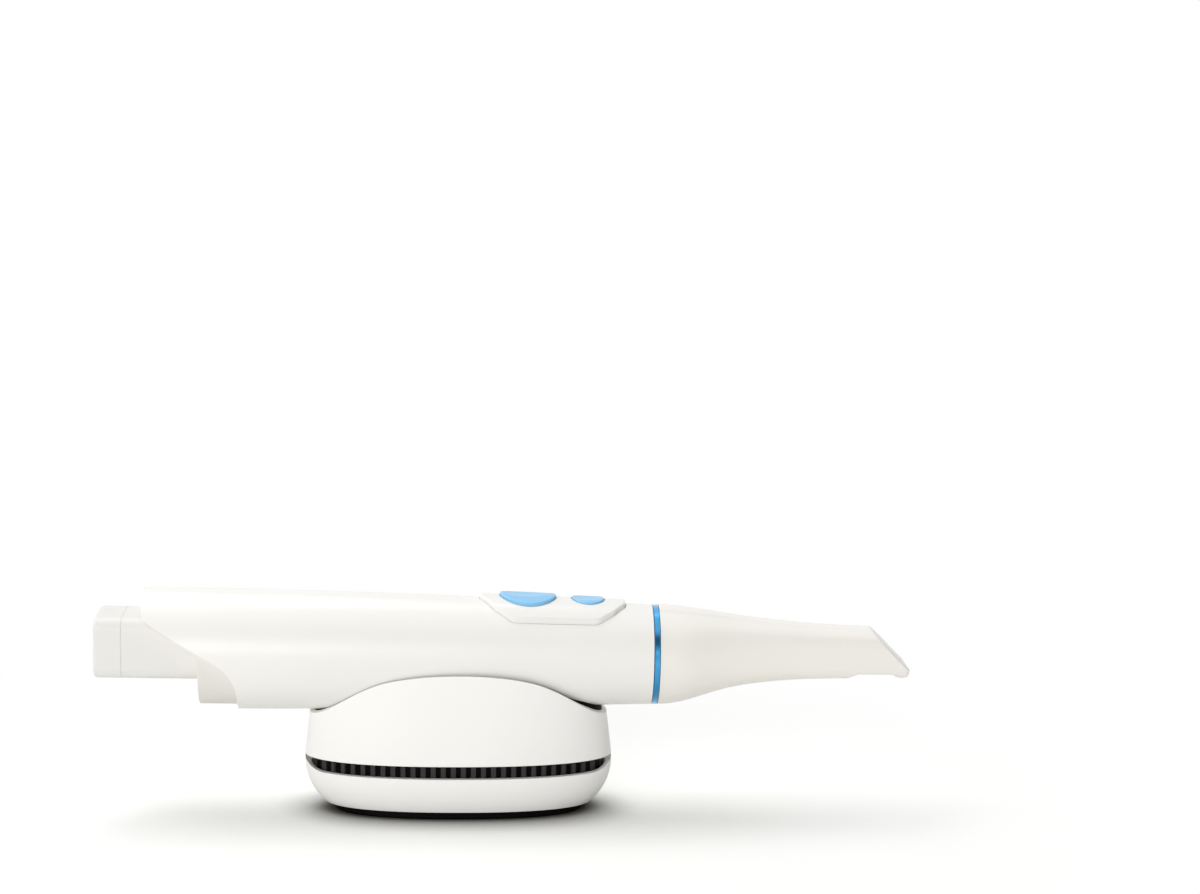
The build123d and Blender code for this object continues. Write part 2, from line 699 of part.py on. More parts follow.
# Nose barrel: a flange inside the handle's front, the seat of the tip and a taper to the window
ring_front = HANDLE_FRONT + SEAM + RING_WIDTH
tip_rear = ring_front + SEAM
seat_end = tip_rear + NOSE_SEAT_SHARE * TIP_LENGTH
nose_step = tip_rear + NOSE_STEP_SHARE * TIP_LENGTH
nose_front = tip_rear + NOSE_FRONT_SHARE * TIP_LENGTH
seal_station = tip_rear + SEAL_SHARE * TIP_LENGTH
seat_radius = TIP_BORE - SLIDE_FIT
flange_rear = HANDLE_FRONT - NOSE_FLANGE
window_radius = NOSE_FRONT_RADIUS - WINDOW_LEDGE
groove_floor = seat_radius - SEAL_THICKNESS - SLIDE_FIT
with BuildPart() as nose_barrel:
    add(inner_form)
    split(bisect_by=across(flange_rear), keep=Keep.TOP)
    with BuildSketch(side):
        with BuildLine():
            Polyline(
                (flange_rear, 0), (flange_rear, seat_radius), (seat_end, seat_radius),
                (nose_step, NOSE_STEP_RADIUS), (nose_front, NOSE_FRONT_RADIUS), (nose_front, 0),
                close=True,
            )
        make_face()
    revolve(axis=long_axis)
    with BuildSketch(side):
        with BuildLine():
            Polyline(
                (flange_rear, 0), (flange_rear, NOSE_BORE), (seat_end, NOSE_BORE),
                (nose_step, NOSE_STEP_RADIUS - NOSE_WALL), (nose_front, window_radius - WINDOW_LEDGE),
                (nose_front, 0), close=True,
            )
        make_face()
    revolve(axis=long_axis, mode=Mode.SUBTRACT)
    with BuildSketch(across(nose_front)):
        Circle(window_radius)
    extrude(amount=-WINDOW_THICKNESS, mode=Mode.SUBTRACT)
    with BuildSketch(side):
        with Locations((seal_station, (groove_floor + FRONT_RADIUS) / 2)):
            Rectangle(SEAL_THICKNESS + 2 * FIT, FRONT_RADIUS - groove_floor)
    revolve(axis=long_axis, mode=Mode.SUBTRACT)
nose_barrel.part.label = "nose_barrel"
export_step(nose_barrel.part, "parts/nose_barrel.step")

# Rubber seal in the nose's groove, on which the tip grips
with BuildPart() as nose_seal:
    with BuildSketch(side):
        with Locations((seal_station, seat_radius - SEAL_THICKNESS / 2)):
            Circle(SEAL_THICKNESS / 2)
    revolve(axis=long_axis)
nose_seal.part.label = "nose_seal"
export_step(nose_seal.part, "parts/nose_seal.step")

# Front window, set in the nose
with BuildPart() as front_window:
    with BuildSketch(across(nose_front)):
        Circle(window_radius - SEAM)
    extrude(amount=-WINDOW_THICKNESS)
front_window.part.label = "front_window"
export_step(front_window.part, "parts/front_window.step")

# Accent ring between the handle and the tip
with BuildPart() as accent_ring:
    with BuildSketch(across(HANDLE_FRONT + SEAM)):
        Circle(FRONT_RADIUS)
        Circle(seat_radius + SEAM, mode=Mode.SUBTRACT)
    extrude(amount=RING_WIDTH)
    chamfer(accent_ring.edges().filter_by(GeomType.CIRCLE).group_by(SortBy.RADIUS)[-1], RING_EDGE)
accent_ring.part.label = "accent_ring"
export_step(accent_ring.part, "parts/accent_ring.step")

# Optics carrier: a plate behind the nose that holds the camera and the projector
carrier_rear = flange_rear - CARRIER_DEPTH
with BuildPart() as optics_carrier:
    with BuildSketch(across(carrier_rear)):
        Circle(CARRIER_RADIUS)
        with Locations((0, CAMERA_HEIGHT)):
            Circle(CAMERA_DIAMETER / 2 + SEAM, mode=Mode.SUBTRACT)
        with Locations((0, PROJECTOR_HEIGHT)):
            Circle(PROJECTOR_DIAMETER / 2 + SEAM, mode=Mode.SUBTRACT)
    extrude(amount=CARRIER_DEPTH)
optics_carrier.part.label = "optics_carrier"
export_step(optics_carrier.part, "parts/optics_carrier.step")

# Camera: a bored barrel with its lens, and the sensor board behind it
camera_front = tip_rear + CAMERA_SHARE * TIP_LENGTH
with BuildPart() as camera_barrel:
    with BuildSketch(across(carrier_rear, CAMERA_HEIGHT)):
        Circle(CAMERA_DIAMETER / 2)
        Circle(CAMERA_BORE / 2, mode=Mode.SUBTRACT)
    extrude(amount=camera_front - carrier_rear)
camera_barrel.part.label = "camera_barrel"
export_step(camera_barrel.part, "parts/camera_barrel.step")

with BuildPart() as camera_lens:
    with BuildSketch(across(camera_front - FIT, CAMERA_HEIGHT)):
        Circle(CAMERA_BORE / 2 - SEAM)
    extrude(amount=-LENS_THICKNESS)
camera_lens.part.label = "camera_lens"
export_step(camera_lens.part, "parts/camera_lens.step")

with BuildPart() as camera_board:
    with BuildSketch(across(carrier_rear, CAMERA_HEIGHT)):
        Rectangle(CAMERA_BOARD_SIZE, CAMERA_DIAMETER)
    extrude(amount=-CAMERA_BOARD_THICKNESS)
camera_board.part.label = "camera_board"
export_step(camera_board.part, "parts/camera_board.step")

# Projector: a light block behind a bored barrel, and its lens
projector_front = tip_rear + PROJECTOR_SHARE * TIP_LENGTH
with BuildPart() as projector_module:
    with BuildSketch(across(carrier_rear, PROJECTOR_HEIGHT)):
        Circle(PROJECTOR_DIAMETER / 2)
        Circle(PROJECTOR_BORE / 2, mode=Mode.SUBTRACT)
    extrude(amount=projector_front - carrier_rear)
    with BuildSketch(across(carrier_rear, PROJECTOR_HEIGHT)):
        Rectangle(PROJECTOR_BLOCK, PROJECTOR_DIAMETER)
    extrude(amount=-PROJECTOR_BLOCK_LENGTH)
projector_module.part.label = "projector_module"
export_step(projector_module.part, "parts/projector_module.step")

with BuildPart() as projector_lens:
    with BuildSketch(across(projector_front - FIT, PROJECTOR_HEIGHT)):
        Circle(PROJECTOR_BORE / 2 - SEAM)
    extrude(amount=-LENS_THICKNESS)
projector_lens.part.label = "projector_lens"
export_step(projector_lens.part, "parts/projector_lens.step")

# Tip: a lofted sleeve from a round collar to a flat-sided end with a slanted face
tip_end = tip_rear + TIP_LENGTH


def tip_form(inset, sections):
    """Loft through cross-sections of the tip, smooth and straight at the end, drawn in by an inset."""
    with BuildPart() as form:
        for run, straight in ((sections[:-1], False), (sections[-2:], True)):
            for share, middle, half_height, half_width, squareness in run:
                with BuildSketch(across(tip_rear + share * TIP_LENGTH, middle)):
                    add(half_oval(half_width - inset, half_height - inset, squareness))
            loft(ruled=straight)
        mirror(about=side)
    return form.part


bevel_turn = radians(TIP_BEVEL_ANGLE)
bevel = Plane(
    origin=scanner.from_local_coords((tip_end - TIP_BEVEL_SETBACK, 0, TIP_BEVEL_HEIGHT)),
    x_dir=scanner.y_dir,
    z_dir=scanner.from_local_coords((sin(bevel_turn), 0, cos(bevel_turn))) - scanner.origin,
)
mirror_seat = bevel.offset(-TIP_END_WALL)
recess_front = tip_end - RECESS_SETBACK
recess_rear = recess_front - RECESS_LENGTH
scan_window_middle = tip_end - SCAN_WINDOW_SETBACK - SCAN_WINDOW_LENGTH / 2

with BuildPart() as tip_cavity:
    add(tip_form(TIP_WALL, TIP_NECK))
    split(bisect_by=mirror_seat, keep=Keep.BOTTOM)
    split(bisect_by=across(tip_end - TIP_END_WALL), keep=Keep.BOTTOM)
with BuildPart() as tip_sleeve:
    add(tip_form(0, TIP_COLLAR + TIP_NECK))
    split(bisect_by=bevel, keep=Keep.BOTTOM)
    fillet(tip_sleeve.faces().sort_by(Axis.X)[-1].edges(), TIP_NOSE_ROUNDING)
    bevel_face = tip_sleeve.faces().filter_by(GeomType.PLANE).sort_by_distance(bevel.origin)[0]
    fillet(bevel_face.edges(), TIP_EDGE)
    with BuildSketch(side):
        with BuildLine():
            roof = FilletPolyline(
                (recess_rear, RECESS_HEIGHT - RECESS_DEPTH),
                (recess_rear + RECESS_RUN, RECESS_HEIGHT),
                (recess_front - RECESS_RUN, RECESS_HEIGHT),
                (recess_front, RECESS_HEIGHT - RECESS_DEPTH),
                radius=RECESS_ROUNDING,
            )
            Polyline(roof @ 1, (recess_front, -REACH), (recess_rear, -REACH), roof @ 0)
        make_face()
    extrude(amount=REACH, both=True, mode=Mode.SUBTRACT)
    add(tip_cavity.part, mode=Mode.SUBTRACT)
    with BuildSketch(across(tip_rear)):
        Circle(TIP_BORE)
    extrude(amount=TIP_NECK[0][0] * TIP_LENGTH, mode=Mode.SUBTRACT)
    with BuildSketch(level(0)):
        with Locations((scan_window_middle, 0)):
            RectangleRounded(SCAN_WINDOW_LENGTH, SCAN_WINDOW_WIDTH, SCAN_WINDOW_CORNER)
    extrude(amount=-REACH, mode=Mode.SUBTRACT)
tip_sleeve.part.label = "tip_sleeve"
export_step(tip_sleeve.part, "parts/tip_sleeve.step")

# Mirror under the tip's slanted face, which turns the view down through the scan window
with BuildPart() as tip_mirror:
    with BuildSketch(mirror_seat):
        with Locations((0, -MIRROR_DROP)):
            Rectangle(MIRROR_WIDTH, MIRROR_LENGTH)
    extrude(amount=-MIRROR_THICKNESS)
tip_mirror.part.label = "tip_mirror"
export_step(tip_mirror.part, "parts/tip_mirror.step")


def upper_form(inset):
    """The upper shell's tapered block, drawn in by an inset."""
    with BuildPart() as form:
        with BuildSketch(Plane.XY.offset(UPPER_BOTTOM)):
            add(half_oval(CRADLE_HALF_LENGTH - inset, CRADLE_HALF_WIDTH - inset))
        with BuildSketch(Plane.XY.offset(UPPER_TOP)):
            half_length = CRADLE_HALF_LENGTH - UPPER_END_TAPER - inset
            half_width = CRADLE_HALF_WIDTH - UPPER_SIDE_TAPER - inset
            add(half_oval(half_length, half_width, UPPER_TOP_SQUARENESS))
        loft(ruled=True)
        mirror(about=Plane.YZ)
    return form.part


def trough(growth):
    """Cylinder along the cradle in which the handle lies, grown by an amount."""
    with BuildPart() as form:
        with BuildSketch(Plane.YZ):
            with Locations((0, TROUGH_HEIGHT)):
                Circle(TROUGH_RADIUS + growth)
        extrude(amount=REACH, both=True)
    return form.part


def bulge_scale(height):
    """Share of the cradle's outline that the lower shell has at a height, on its bulged profile."""
    depth = LOWER_LEVELS[-1] - height
    return 1 - (LOWER_BULGE - sqrt(LOWER_BULGE**2 - depth**2)) / CRADLE_HALF_LENGTH


def lower_form(inset, floor, top):
    """The lower shell's bulged bowl between a floor and a top, drawn in by an inset."""
    heights = [floor, *[height for height in LOWER_LEVELS if floor < height < top], top]
    with BuildPart() as form:
        for height in heights:
            scale = bulge_scale(min(height, LOWER_LEVELS[-1]))
            with BuildSketch(Plane.XY.offset(height)):
                half_length = CRADLE_HALF_LENGTH * scale - inset
                add(half_oval(half_length, CRADLE_HALF_WIDTH * scale - inset))
        loft()
        mirror(about=Plane.YZ)
    return form.part


cradle_boss_spacing = (
    2 * CRADLE_BOSS_END_SHARE * CRADLE_HALF_LENGTH,
    2 * CRADLE_BOSS_SIDE_SHARE * CRADLE_HALF_WIDTH,
)


def cradle_column(diameter, bottom, top):
    """Four upright round columns at the cradle's screw places."""
    with BuildPart() as columns:
        with BuildSketch(Plane.XY.offset(bottom)):
            with GridLocations(*cradle_boss_spacing, BOSS_COUNT, BOSS_COUNT):
                Circle(diameter / 2)
        extrude(amount=top - bottom)
    return columns.part


# Cradle upper shell: a hollow block with the trough cut along it and a rim that falls to both ends
boss_top = TROUGH_HEIGHT - TROUGH_RADIUS - LINER_RECESS - CRADLE_WALL / 2
with BuildPart() as liner_block:
    with BuildSketch():
        add(oval(CRADLE_HALF_LENGTH - LINER_INSET, CRADLE_HALF_WIDTH - LINER_INSET))
    extrude(amount=LINER_TOP)
    add(trough(LINER_RECESS), mode=Mode.INTERSECT)
with BuildPart() as upper_cavity:
    add(upper_form(CRADLE_WALL))
    split(bisect_by=Plane.XY.offset(VENT_TOP), keep=Keep.BOTTOM)
    add(upper_form(CRADLE_WALL + UPPER_STEP))
    add(trough(LINER_RECESS + CRADLE_WALL), mode=Mode.SUBTRACT)
with BuildPart() as cradle_upper_shell:
    add(upper_form(0))
    with BuildSketch(Plane.XZ):
        with BuildLine():
            half_rim = [(share * CRADLE_HALF_LENGTH, height) for share, height in RIM_POINTS]
            other_half = [(-distance, height) for distance, height in reversed(half_rim[:-1])]
            rim = Spline(*half_rim, *other_half)
            rim_end = half_rim[0][0]
            Polyline(rim @ 1, (-rim_end, REACH), (rim_end, REACH), rim @ 0)
        make_face()
    extrude(amount=REACH, both=True, mode=Mode.SUBTRACT)
    add(trough(0), mode=Mode.SUBTRACT)
    add(liner_block.part, mode=Mode.SUBTRACT)
    add(upper_cavity.part, mode=Mode.SUBTRACT)
    add(cradle_column(CRADLE_BOSS_DIAMETER, CRADLE_BOSS_SPLIT, boss_top))
    pilot_top = CRADLE_BOSS_SPLIT + CRADLE_SCREW_DEPTH + SOFT_EDGE
    add(cradle_column(CRADLE_SCREW_DIAMETER + 2 * SEAM, CRADLE_BOSS_SPLIT, pilot_top), mode=Mode.SUBTRACT)
cradle_upper_shell.part.label = "cradle_upper_shell"
export_step(cradle_upper_shell.part, "parts/cradle_upper_shell.step")

# Soft liner in the trough, shaped to the handle
with BuildPart() as cradle_liner:
    with BuildSketch():
        add(oval(CRADLE_HALF_LENGTH - LINER_INSET - SEAM, CRADLE_HALF_WIDTH - LINER_INSET - SEAM))
    extrude(amount=LINER_TOP - SEAM)
    add(trough(LINER_RECESS - SEAM), mode=Mode.INTERSECT)
    add(handle_form(LINER_FIT), mode=Mode.SUBTRACT)
cradle_liner.part.label = "cradle_liner"
export_step(cradle_liner.part, "parts/cradle_liner.step")

# Cradle lower shell: a bowl whose rim rises at both ends, a ledge inside and a recess for the foot
lift_end = LOWER_RIM + LOWER_RIM_LIFT
bottom_scale = bulge_scale(LOWER_LEVELS[0])
foot_half_length = CRADLE_HALF_LENGTH * bottom_scale - FOOT_END_MARGIN
foot_half_width = CRADLE_HALF_WIDTH * bottom_scale - FOOT_SIDE_MARGIN
head_seat = FOOT_HEIGHT + CRADLE_SCREW_HEAD_HEIGHT + SOFT_EDGE
with BuildPart() as cradle_lower_shell:
    add(lower_form(0, LOWER_LEVELS[0], UPPER_BOTTOM))
    add(lower_form(CRADLE_WALL + LEDGE_WIDTH, LOWER_FLOOR, LEDGE_HEIGHT), mode=Mode.SUBTRACT)
    add(lower_form(CRADLE_WALL, LEDGE_HEIGHT, UPPER_BOTTOM), mode=Mode.SUBTRACT)
    with BuildSketch(Plane.XZ):
        with BuildLine():
            flat_end = CRADLE_HALF_LENGTH - LOWER_RIM_RUN
            flat = Line((-flat_end, LOWER_RIM), (flat_end, LOWER_RIM))
            front_end = TangentArc(flat @ 1, (CRADLE_HALF_LENGTH, lift_end), tangent=(1, 0))
            rear_end = TangentArc(flat @ 0, (-CRADLE_HALF_LENGTH, lift_end), tangent=(-1, 0))
            Polyline(
                front_end @ 1, (REACH, lift_end), (REACH, REACH),
                (-REACH, REACH), (-REACH, lift_end), rear_end @ 1,
            )
        make_face()
    extrude(amount=REACH, both=True, mode=Mode.SUBTRACT)
    add(cradle_column(CRADLE_BOSS_DIAMETER, LOWER_FLOOR, CRADLE_BOSS_SPLIT))
    add(cradle_column(CRADLE_SCREW_DIAMETER + 2 * FIT, FOOT_HEIGHT, CRADLE_BOSS_SPLIT), mode=Mode.SUBTRACT)
    add(cradle_column(CRADLE_SCREW_HEAD_DIAMETER + 2 * FIT, FOOT_HEIGHT, head_seat), mode=Mode.SUBTRACT)
    with BuildSketch():
        add(oval(foot_half_length + FIT, foot_half_width + FIT))
    extrude(amount=FOOT_HEIGHT, mode=Mode.SUBTRACT)
cradle_lower_shell.part.label = "cradle_lower_shell"
export_step(cradle_lower_shell.part, "parts/cradle_lower_shell.step")

# Vent ring: a dark oval band behind the gap between the shells, with upright ribs in the gap
ledge_scale = bulge_scale(LEDGE_HEIGHT)
vent_half_length = CRADLE_HALF_LENGTH * ledge_scale - CRADLE_WALL - FIT
vent_half_width = CRADLE_HALF_WIDTH * ledge_scale - CRADLE_WALL - FIT
rib_pitch = vent_half_length * RIB_SHARE / RIB_COUNT
rib_places = []
for rib in range(RIB_COUNT):
    rib_x = rib_pitch * rib + rib_pitch / 2
    share = rib_x / vent_half_length
    rib_y = vent_half_width * (1 - share**CRADLE_SQUARENESS) ** (1 / CRADLE_SQUARENESS)
    fall = share ** (CRADLE_SQUARENESS - 1) * (rib_y / vent_half_width) ** (1 - CRADLE_SQUARENESS)
    lean = degrees(atan(vent_half_width / vent_half_length * fall))
    rib_places += [Location((rib_x, rib_y), -lean), Location((rib_x, -rib_y), lean)]
with BuildPart() as cradle_vent_ring:
    with BuildSketch(Plane.XY.offset(LEDGE_HEIGHT)):
        add(half_oval(vent_half_length, vent_half_width))
        add(half_oval(vent_half_length - VENT_WALL, vent_half_width - VENT_WALL), mode=Mode.SUBTRACT)
    extrude(amount=VENT_TOP - LEDGE_HEIGHT)
    with BuildSketch(Plane.XY.offset(LOWER_RIM + RIB_MARGIN)):
        with Locations(*rib_places):
            Rectangle(RIB_WIDTH, 2 * RIB_DEPTH)
    extrude(amount=UPPER_BOTTOM - LOWER_RIM - 2 * RIB_MARGIN)
    mirror(about=Plane.YZ)
cradle_vent_ring.part.label = "cradle_vent_ring"
export_step(cradle_vent_ring.part, "parts/cradle_vent_ring.step")

# Rubber foot under the lower shell
with BuildPart() as cradle_foot:
    for height, inset in ((0, FOOT_EDGE), (FOOT_EDGE, 0), (FOOT_HEIGHT, 0)):
        with BuildSketch(Plane.XY.offset(height)):
            add(half_oval(foot_half_length - inset, foot_half_width - inset))
    loft(ruled=True)
    mirror(about=Plane.YZ)
cradle_foot.part.label = "cradle_foot"
export_step(cradle_foot.part, "parts/cradle_foot.step")

# Steel ballast on the lower shell's floor
floor_scale = bulge_scale(LOWER_FLOOR)
ballast_inset = CRADLE_WALL + LEDGE_WIDTH + PRESS_GAP
with BuildPart() as cradle_ballast:
    with BuildSketch(Plane.XY.offset(LOWER_FLOOR)):
        ballast_half_length = CRADLE_HALF_LENGTH * floor_scale - ballast_inset
        ballast_half_width = CRADLE_HALF_WIDTH * floor_scale - ballast_inset
        add(oval(ballast_half_length, ballast_half_width))
        with GridLocations(*cradle_boss_spacing, BOSS_COUNT, BOSS_COUNT):
            Circle(CRADLE_BOSS_DIAMETER / 2 + PRESS_GAP, mode=Mode.SUBTRACT)
    extrude(amount=BALLAST_THICKNESS)
cradle_ballast.part.label = "cradle_ballast"
export_step(cradle_ballast.part, "parts/cradle_ballast.step")

# Screws that hold the two shells together, put in from below
head_bottom = head_seat - CRADLE_SCREW_HEAD_HEIGHT
with BuildPart() as cradle_screws:
    add(cradle_column(CRADLE_SCREW_HEAD_DIAMETER, head_bottom, head_seat))
    add(cradle_column(CRADLE_SCREW_DIAMETER, head_seat, CRADLE_BOSS_SPLIT + CRADLE_SCREW_DEPTH))
cradle_screws.part.label = "cradle_screws"
export_step(cradle_screws.part, "parts/cradle_screws.step")
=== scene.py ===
"""Looks of a wireless intraoral scanner that lies in its desk cradle.

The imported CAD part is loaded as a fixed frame, and each sub-assembly is a class that dresses its own nodes.
Lengths are in metres, and a name that ends in _mm is in millimetres.
"""
import logging
import math
from dataclasses import dataclass
from enum import Enum

import bpy
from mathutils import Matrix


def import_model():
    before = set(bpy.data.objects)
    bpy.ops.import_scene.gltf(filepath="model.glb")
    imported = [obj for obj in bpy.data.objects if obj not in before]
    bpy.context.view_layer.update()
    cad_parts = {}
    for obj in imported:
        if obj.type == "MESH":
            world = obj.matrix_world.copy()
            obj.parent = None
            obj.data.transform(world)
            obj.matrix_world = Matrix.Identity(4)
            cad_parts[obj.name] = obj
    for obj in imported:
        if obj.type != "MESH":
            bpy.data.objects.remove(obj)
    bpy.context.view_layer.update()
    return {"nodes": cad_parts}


log = logging.getLogger("scanner")

Colour = tuple[float, float, float, float]
Place = tuple[float, float, float]
Size = tuple[float, float]
Key = str | int
Tree = bpy.types.NodeTree
Node = bpy.types.Node
Socket = bpy.types.NodeSocket

MM = 0.001
WHITE = "#ffffff"
# Slope of the scanner's axis on the cradle, falling towards the tip
REST_TILT_DEG = 0.83
# Distance from one band of a wave texture to the next, at a scale of one
WAVE_PERIOD = math.pi / 10
# Octaves of noise in a fine grain
FINE_DETAIL = 2.0
# Cosine between a face and its rounded edge, where the rounding and the painted edge colour start and where they
# are full
EDGE_STARTS = 0.99
EDGE_FULL = 0.85
# Sockets of a Mix node, which has a set for each type of data under the same names
FACTOR, VECTOR_A, VECTOR_B, COLOUR_A, COLOUR_B = 0, 4, 5, 6, 7
VECTOR_OUT, COLOUR_OUT = 1, 2


class Grain(Enum):
    """How a mould's surface was made: grain width and depth in millimetres.

    Real grain is too fine to show in the render, so it is drawn as coarse as it needs to show.
    """

    POLISHED = (1.6, 0.0008)
    SATIN = (0.9, 0.005)
    SPARK = (0.7, 0.010)


def linear(colour: str) -> Colour:
    """Turn an sRGB hex colour to linear light.

    Args:
        colour: Six hex digits with a leading hash.

    Returns:
        Red, green, blue and an alpha of one.
    """
    parts = [int(colour[start : start + 2], 16) / 255 for start in (1, 3, 5)]
    # The sRGB curve: a straight foot, and a power above it
    red, green, blue = [
        part / 12.92 if part <= 0.04045 else ((part + 0.055) / 1.055) ** 2.4 for part in parts
    ]
    return red, green, blue, 1.0


def add_node(
    tree: Tree,
    kind: str,
    settings: dict[Key, object] | None = None,
    links: dict[Key, Socket] | None = None,
) -> Node:
    """Add a node with its settings and links.

    Args:
        tree: The node tree that gets the node.
        kind: Blender's type name of the node.
        settings: Attributes or inputs to their values; "stops" gives a colour ramp its places and colours.
        links: Inputs to the output sockets that feed them.

    Returns:
        The new node.
    """
    node = tree.nodes.new(kind)
    for key, value in (settings or {}).items():
        if key == "stops":
            ramp = node.color_ramp.elements
            while len(ramp) < len(value):
                ramp.new(1.0)
            for stop, (place, colour) in zip(ramp, value):
                stop.position, stop.color = place, colour
        elif isinstance(key, str) and hasattr(node, key):
            setattr(node, key, value)
        else:
            node.inputs[key].default_value = value
    for key, socket in (links or {}).items():
        tree.links.new(socket, node.inputs[key])
    return node


@dataclass(frozen=True)
class Finish:
    """What all finishes share: a name, a material that is built once, and a shader laid over a pattern."""

    name: str

    def material(self) -> bpy.types.Material:
        """Build the material, or return the one that is there already.

        Returns:
            The finish as a Blender material.
        """
        made = bpy.data.materials.get(self.name)
        if made is None:
            made = bpy.data.materials.new(self.name)
            made.use_nodes = True
            made.node_tree.nodes.clear()
            shader = self.shade(made.node_tree)
            add_node(made.node_tree, "ShaderNodeOutputMaterial", links={"Surface": shader.outputs["BSDF"]})
        return made

    def shade(self, tree: Tree) -> Node:
        """Add the finish's own nodes and return its shader."""
        raise NotImplementedError

    def surface(
        self,
        tree: Tree,
        settings: dict[Key, object],
        tone: Socket,
        pattern: Socket,
        gloss_range: Size,
        depth_mm: float,
        ground: Socket | None = None,
    ) -> Node:
        """Add a shader whose gloss and relief follow a fine pattern.

        Args:
            tree: The material's node tree.
            settings: What is the same all over the surface.
            tone: The colour.
            pattern: The pattern, from zero to one.
            gloss_range: The roughness at the pattern's low and high end.
            depth_mm: The pattern's depth.
            ground: The normal under the relief, where it isn't the face's own.

        Returns:
            The shader node.
        """
        smooth, rough = gloss_range
        gloss = add_node(tree, "ShaderNodeMapRange", {"To Min": smooth, "To Max": rough}, {"Value": pattern})
        under = {} if ground is None else {"Normal": ground}
        relief = add_node(tree, "ShaderNodeBump", {"Distance": depth_mm * MM}, {"Height": pattern, **under})
        return add_node(
            tree,
            "ShaderNodeBsdfPrincipled",
            settings,
            {"Base Color": tone, "Roughness": gloss.outputs["Result"], "Normal": relief.outputs["Normal"]},
        )


@dataclass(frozen=True)
class MouldedPlastic(Finish):
    """Injection-moulded plastic: even colour, faint clouds, the mould's grain, and rounded edges in a painted
    edge colour (painted highlight; painted shade on the battery pack).
    """

    colour: str
    cloud: str
    edge: str
    roughness: float
    grain: Grain
    ior: float = 1.53
    cloud_mm: float = 24.0
    cloud_detail: float = 3.0
    edge_mm: float = 0.28
    edge_samples: int = 6
    spread: float = 0.05

    def shade(self, tree: Tree) -> Node:
        """Add clouds, grain, rounded edges and their painted edge colour under one shader.

        Args:
            tree: The material's node tree.

        Returns:
            The shader node.
        """
        grain_mm, depth_mm = self.grain.value
        place = add_node(tree, "ShaderNodeTexCoord").outputs["Object"]
        clouds = add_node(
            tree,
            "ShaderNodeTexNoise",
            {"Scale": 1 / (self.cloud_mm * MM), "Detail": self.cloud_detail},
            {"Vector": place},
        )
        grain = add_node(
            tree, "ShaderNodeTexNoise", {"Scale": 1 / (grain_mm * MM), "Detail": FINE_DETAIL}, {"Vector": place}
        )
        body = add_node(
            tree,
            "ShaderNodeMix",
            {"data_type": "RGBA", COLOUR_A: linear(self.colour), COLOUR_B: linear(self.cloud)},
            {FACTOR: clouds.outputs["Fac"]},
        )
        edge_share, rounded = self.edges(tree)
        # The edges take the edge colour: a painted highlight on most pieces, painted shade along the battery
        # pack's seam
        tone = add_node(
            tree,
            "ShaderNodeMix",
            {"data_type": "RGBA", COLOUR_B: linear(self.edge)},
            {FACTOR: edge_share, COLOUR_A: body.outputs[COLOUR_OUT]},
        )
        return self.surface(
            tree,
            {"IOR": self.ior},
            self.paint_shade(tree, place, tone.outputs[COLOUR_OUT]),
            grain.outputs["Fac"],
            (self.roughness - self.spread, self.roughness + self.spread),
            depth_mm,
            rounded,
        )

    def edges(self, tree: Tree) -> tuple[Socket, Socket]:
        """Find the edges and round them, and leave the faces alone, which a bevel all over would facet.

        Args:
            tree: The material's node tree.

        Returns:
            How far the point lies on an edge, from zero to one, which places the painted edge colour, and the
            normal with rounded edges.
        """
        face = add_node(tree, "ShaderNodeNewGeometry").outputs["Normal"]
        bevel = add_node(
            tree, "ShaderNodeBevel", {"samples": self.edge_samples, "Radius": self.edge_mm * MM}
        ).outputs["Normal"]
        turn = add_node(tree, "ShaderNodeVectorMath", {"operation": "DOT_PRODUCT"}, {0: bevel, 1: face})
        on_edge = add_node(
            tree,
            "ShaderNodeMapRange",
            {"From Min": EDGE_STARTS, "From Max": EDGE_FULL},
            {"Value": turn.outputs["Value"]},
        ).outputs["Result"]
        rounded = add_node(
            tree, "ShaderNodeMix", {"data_type": "VECTOR"}, {FACTOR: on_edge, VECTOR_A: face, VECTOR_B: bevel}
        )
        return on_edge, rounded.outputs[VECTOR_OUT]

    def paint_shade(self, tree: Tree, place: Socket, tone: Socket) -> Socket:
        """Paint no shade: leave the plastic's own colour bare, as on most pieces."""
        return tone


@dataclass(frozen=True)
class SaddlePlastic(MouldedPlastic):
    """Moulded plastic with painted black shade in the saddle, a cylinder that lies along the cradle, which
    darkens the line under the handle.

    Its radius and the height of its axis are the CAD part's, the radius with a hair more, so the painted shade
    covers it.
    """

    saddle_shade: str = "#0b0a0a"
    saddle_mm: float = 20.98
    axis_mm: float = 57.05

    def paint_shade(self, tree: Tree, place: Socket, tone: Socket) -> Socket:
        """Paint black shade on what lies within the saddle's radius.

        Args:
            tree: The material's node tree.
            place: The place on the piece.
            tone: The plastic's own colour.

        Returns:
            The colour with the coat on it.
        """
        across = add_node(
            tree,
            "ShaderNodeMapping",
            {"vector_type": "POINT", "Location": (0.0, 0.0, -self.axis_mm * MM), "Scale": (0.0, 1.0, 1.0)},
            {"Vector": place},
        )
        reach = add_node(tree, "ShaderNodeVectorMath", {"operation": "LENGTH"}, {0: across.outputs["Vector"]})
        inside = add_node(
            tree,
            "ShaderNodeMath",
            {"operation": "LESS_THAN", 1: self.saddle_mm * MM},
            {0: reach.outputs["Value"]},
        )
        shaded_saddle = add_node(
            tree,
            "ShaderNodeMix",
            {"data_type": "RGBA", COLOUR_B: linear(self.saddle_shade)},
            {FACTOR: inside.outputs["Value"], COLOUR_A: tone},
        )
        return shaded_saddle.outputs[COLOUR_OUT]


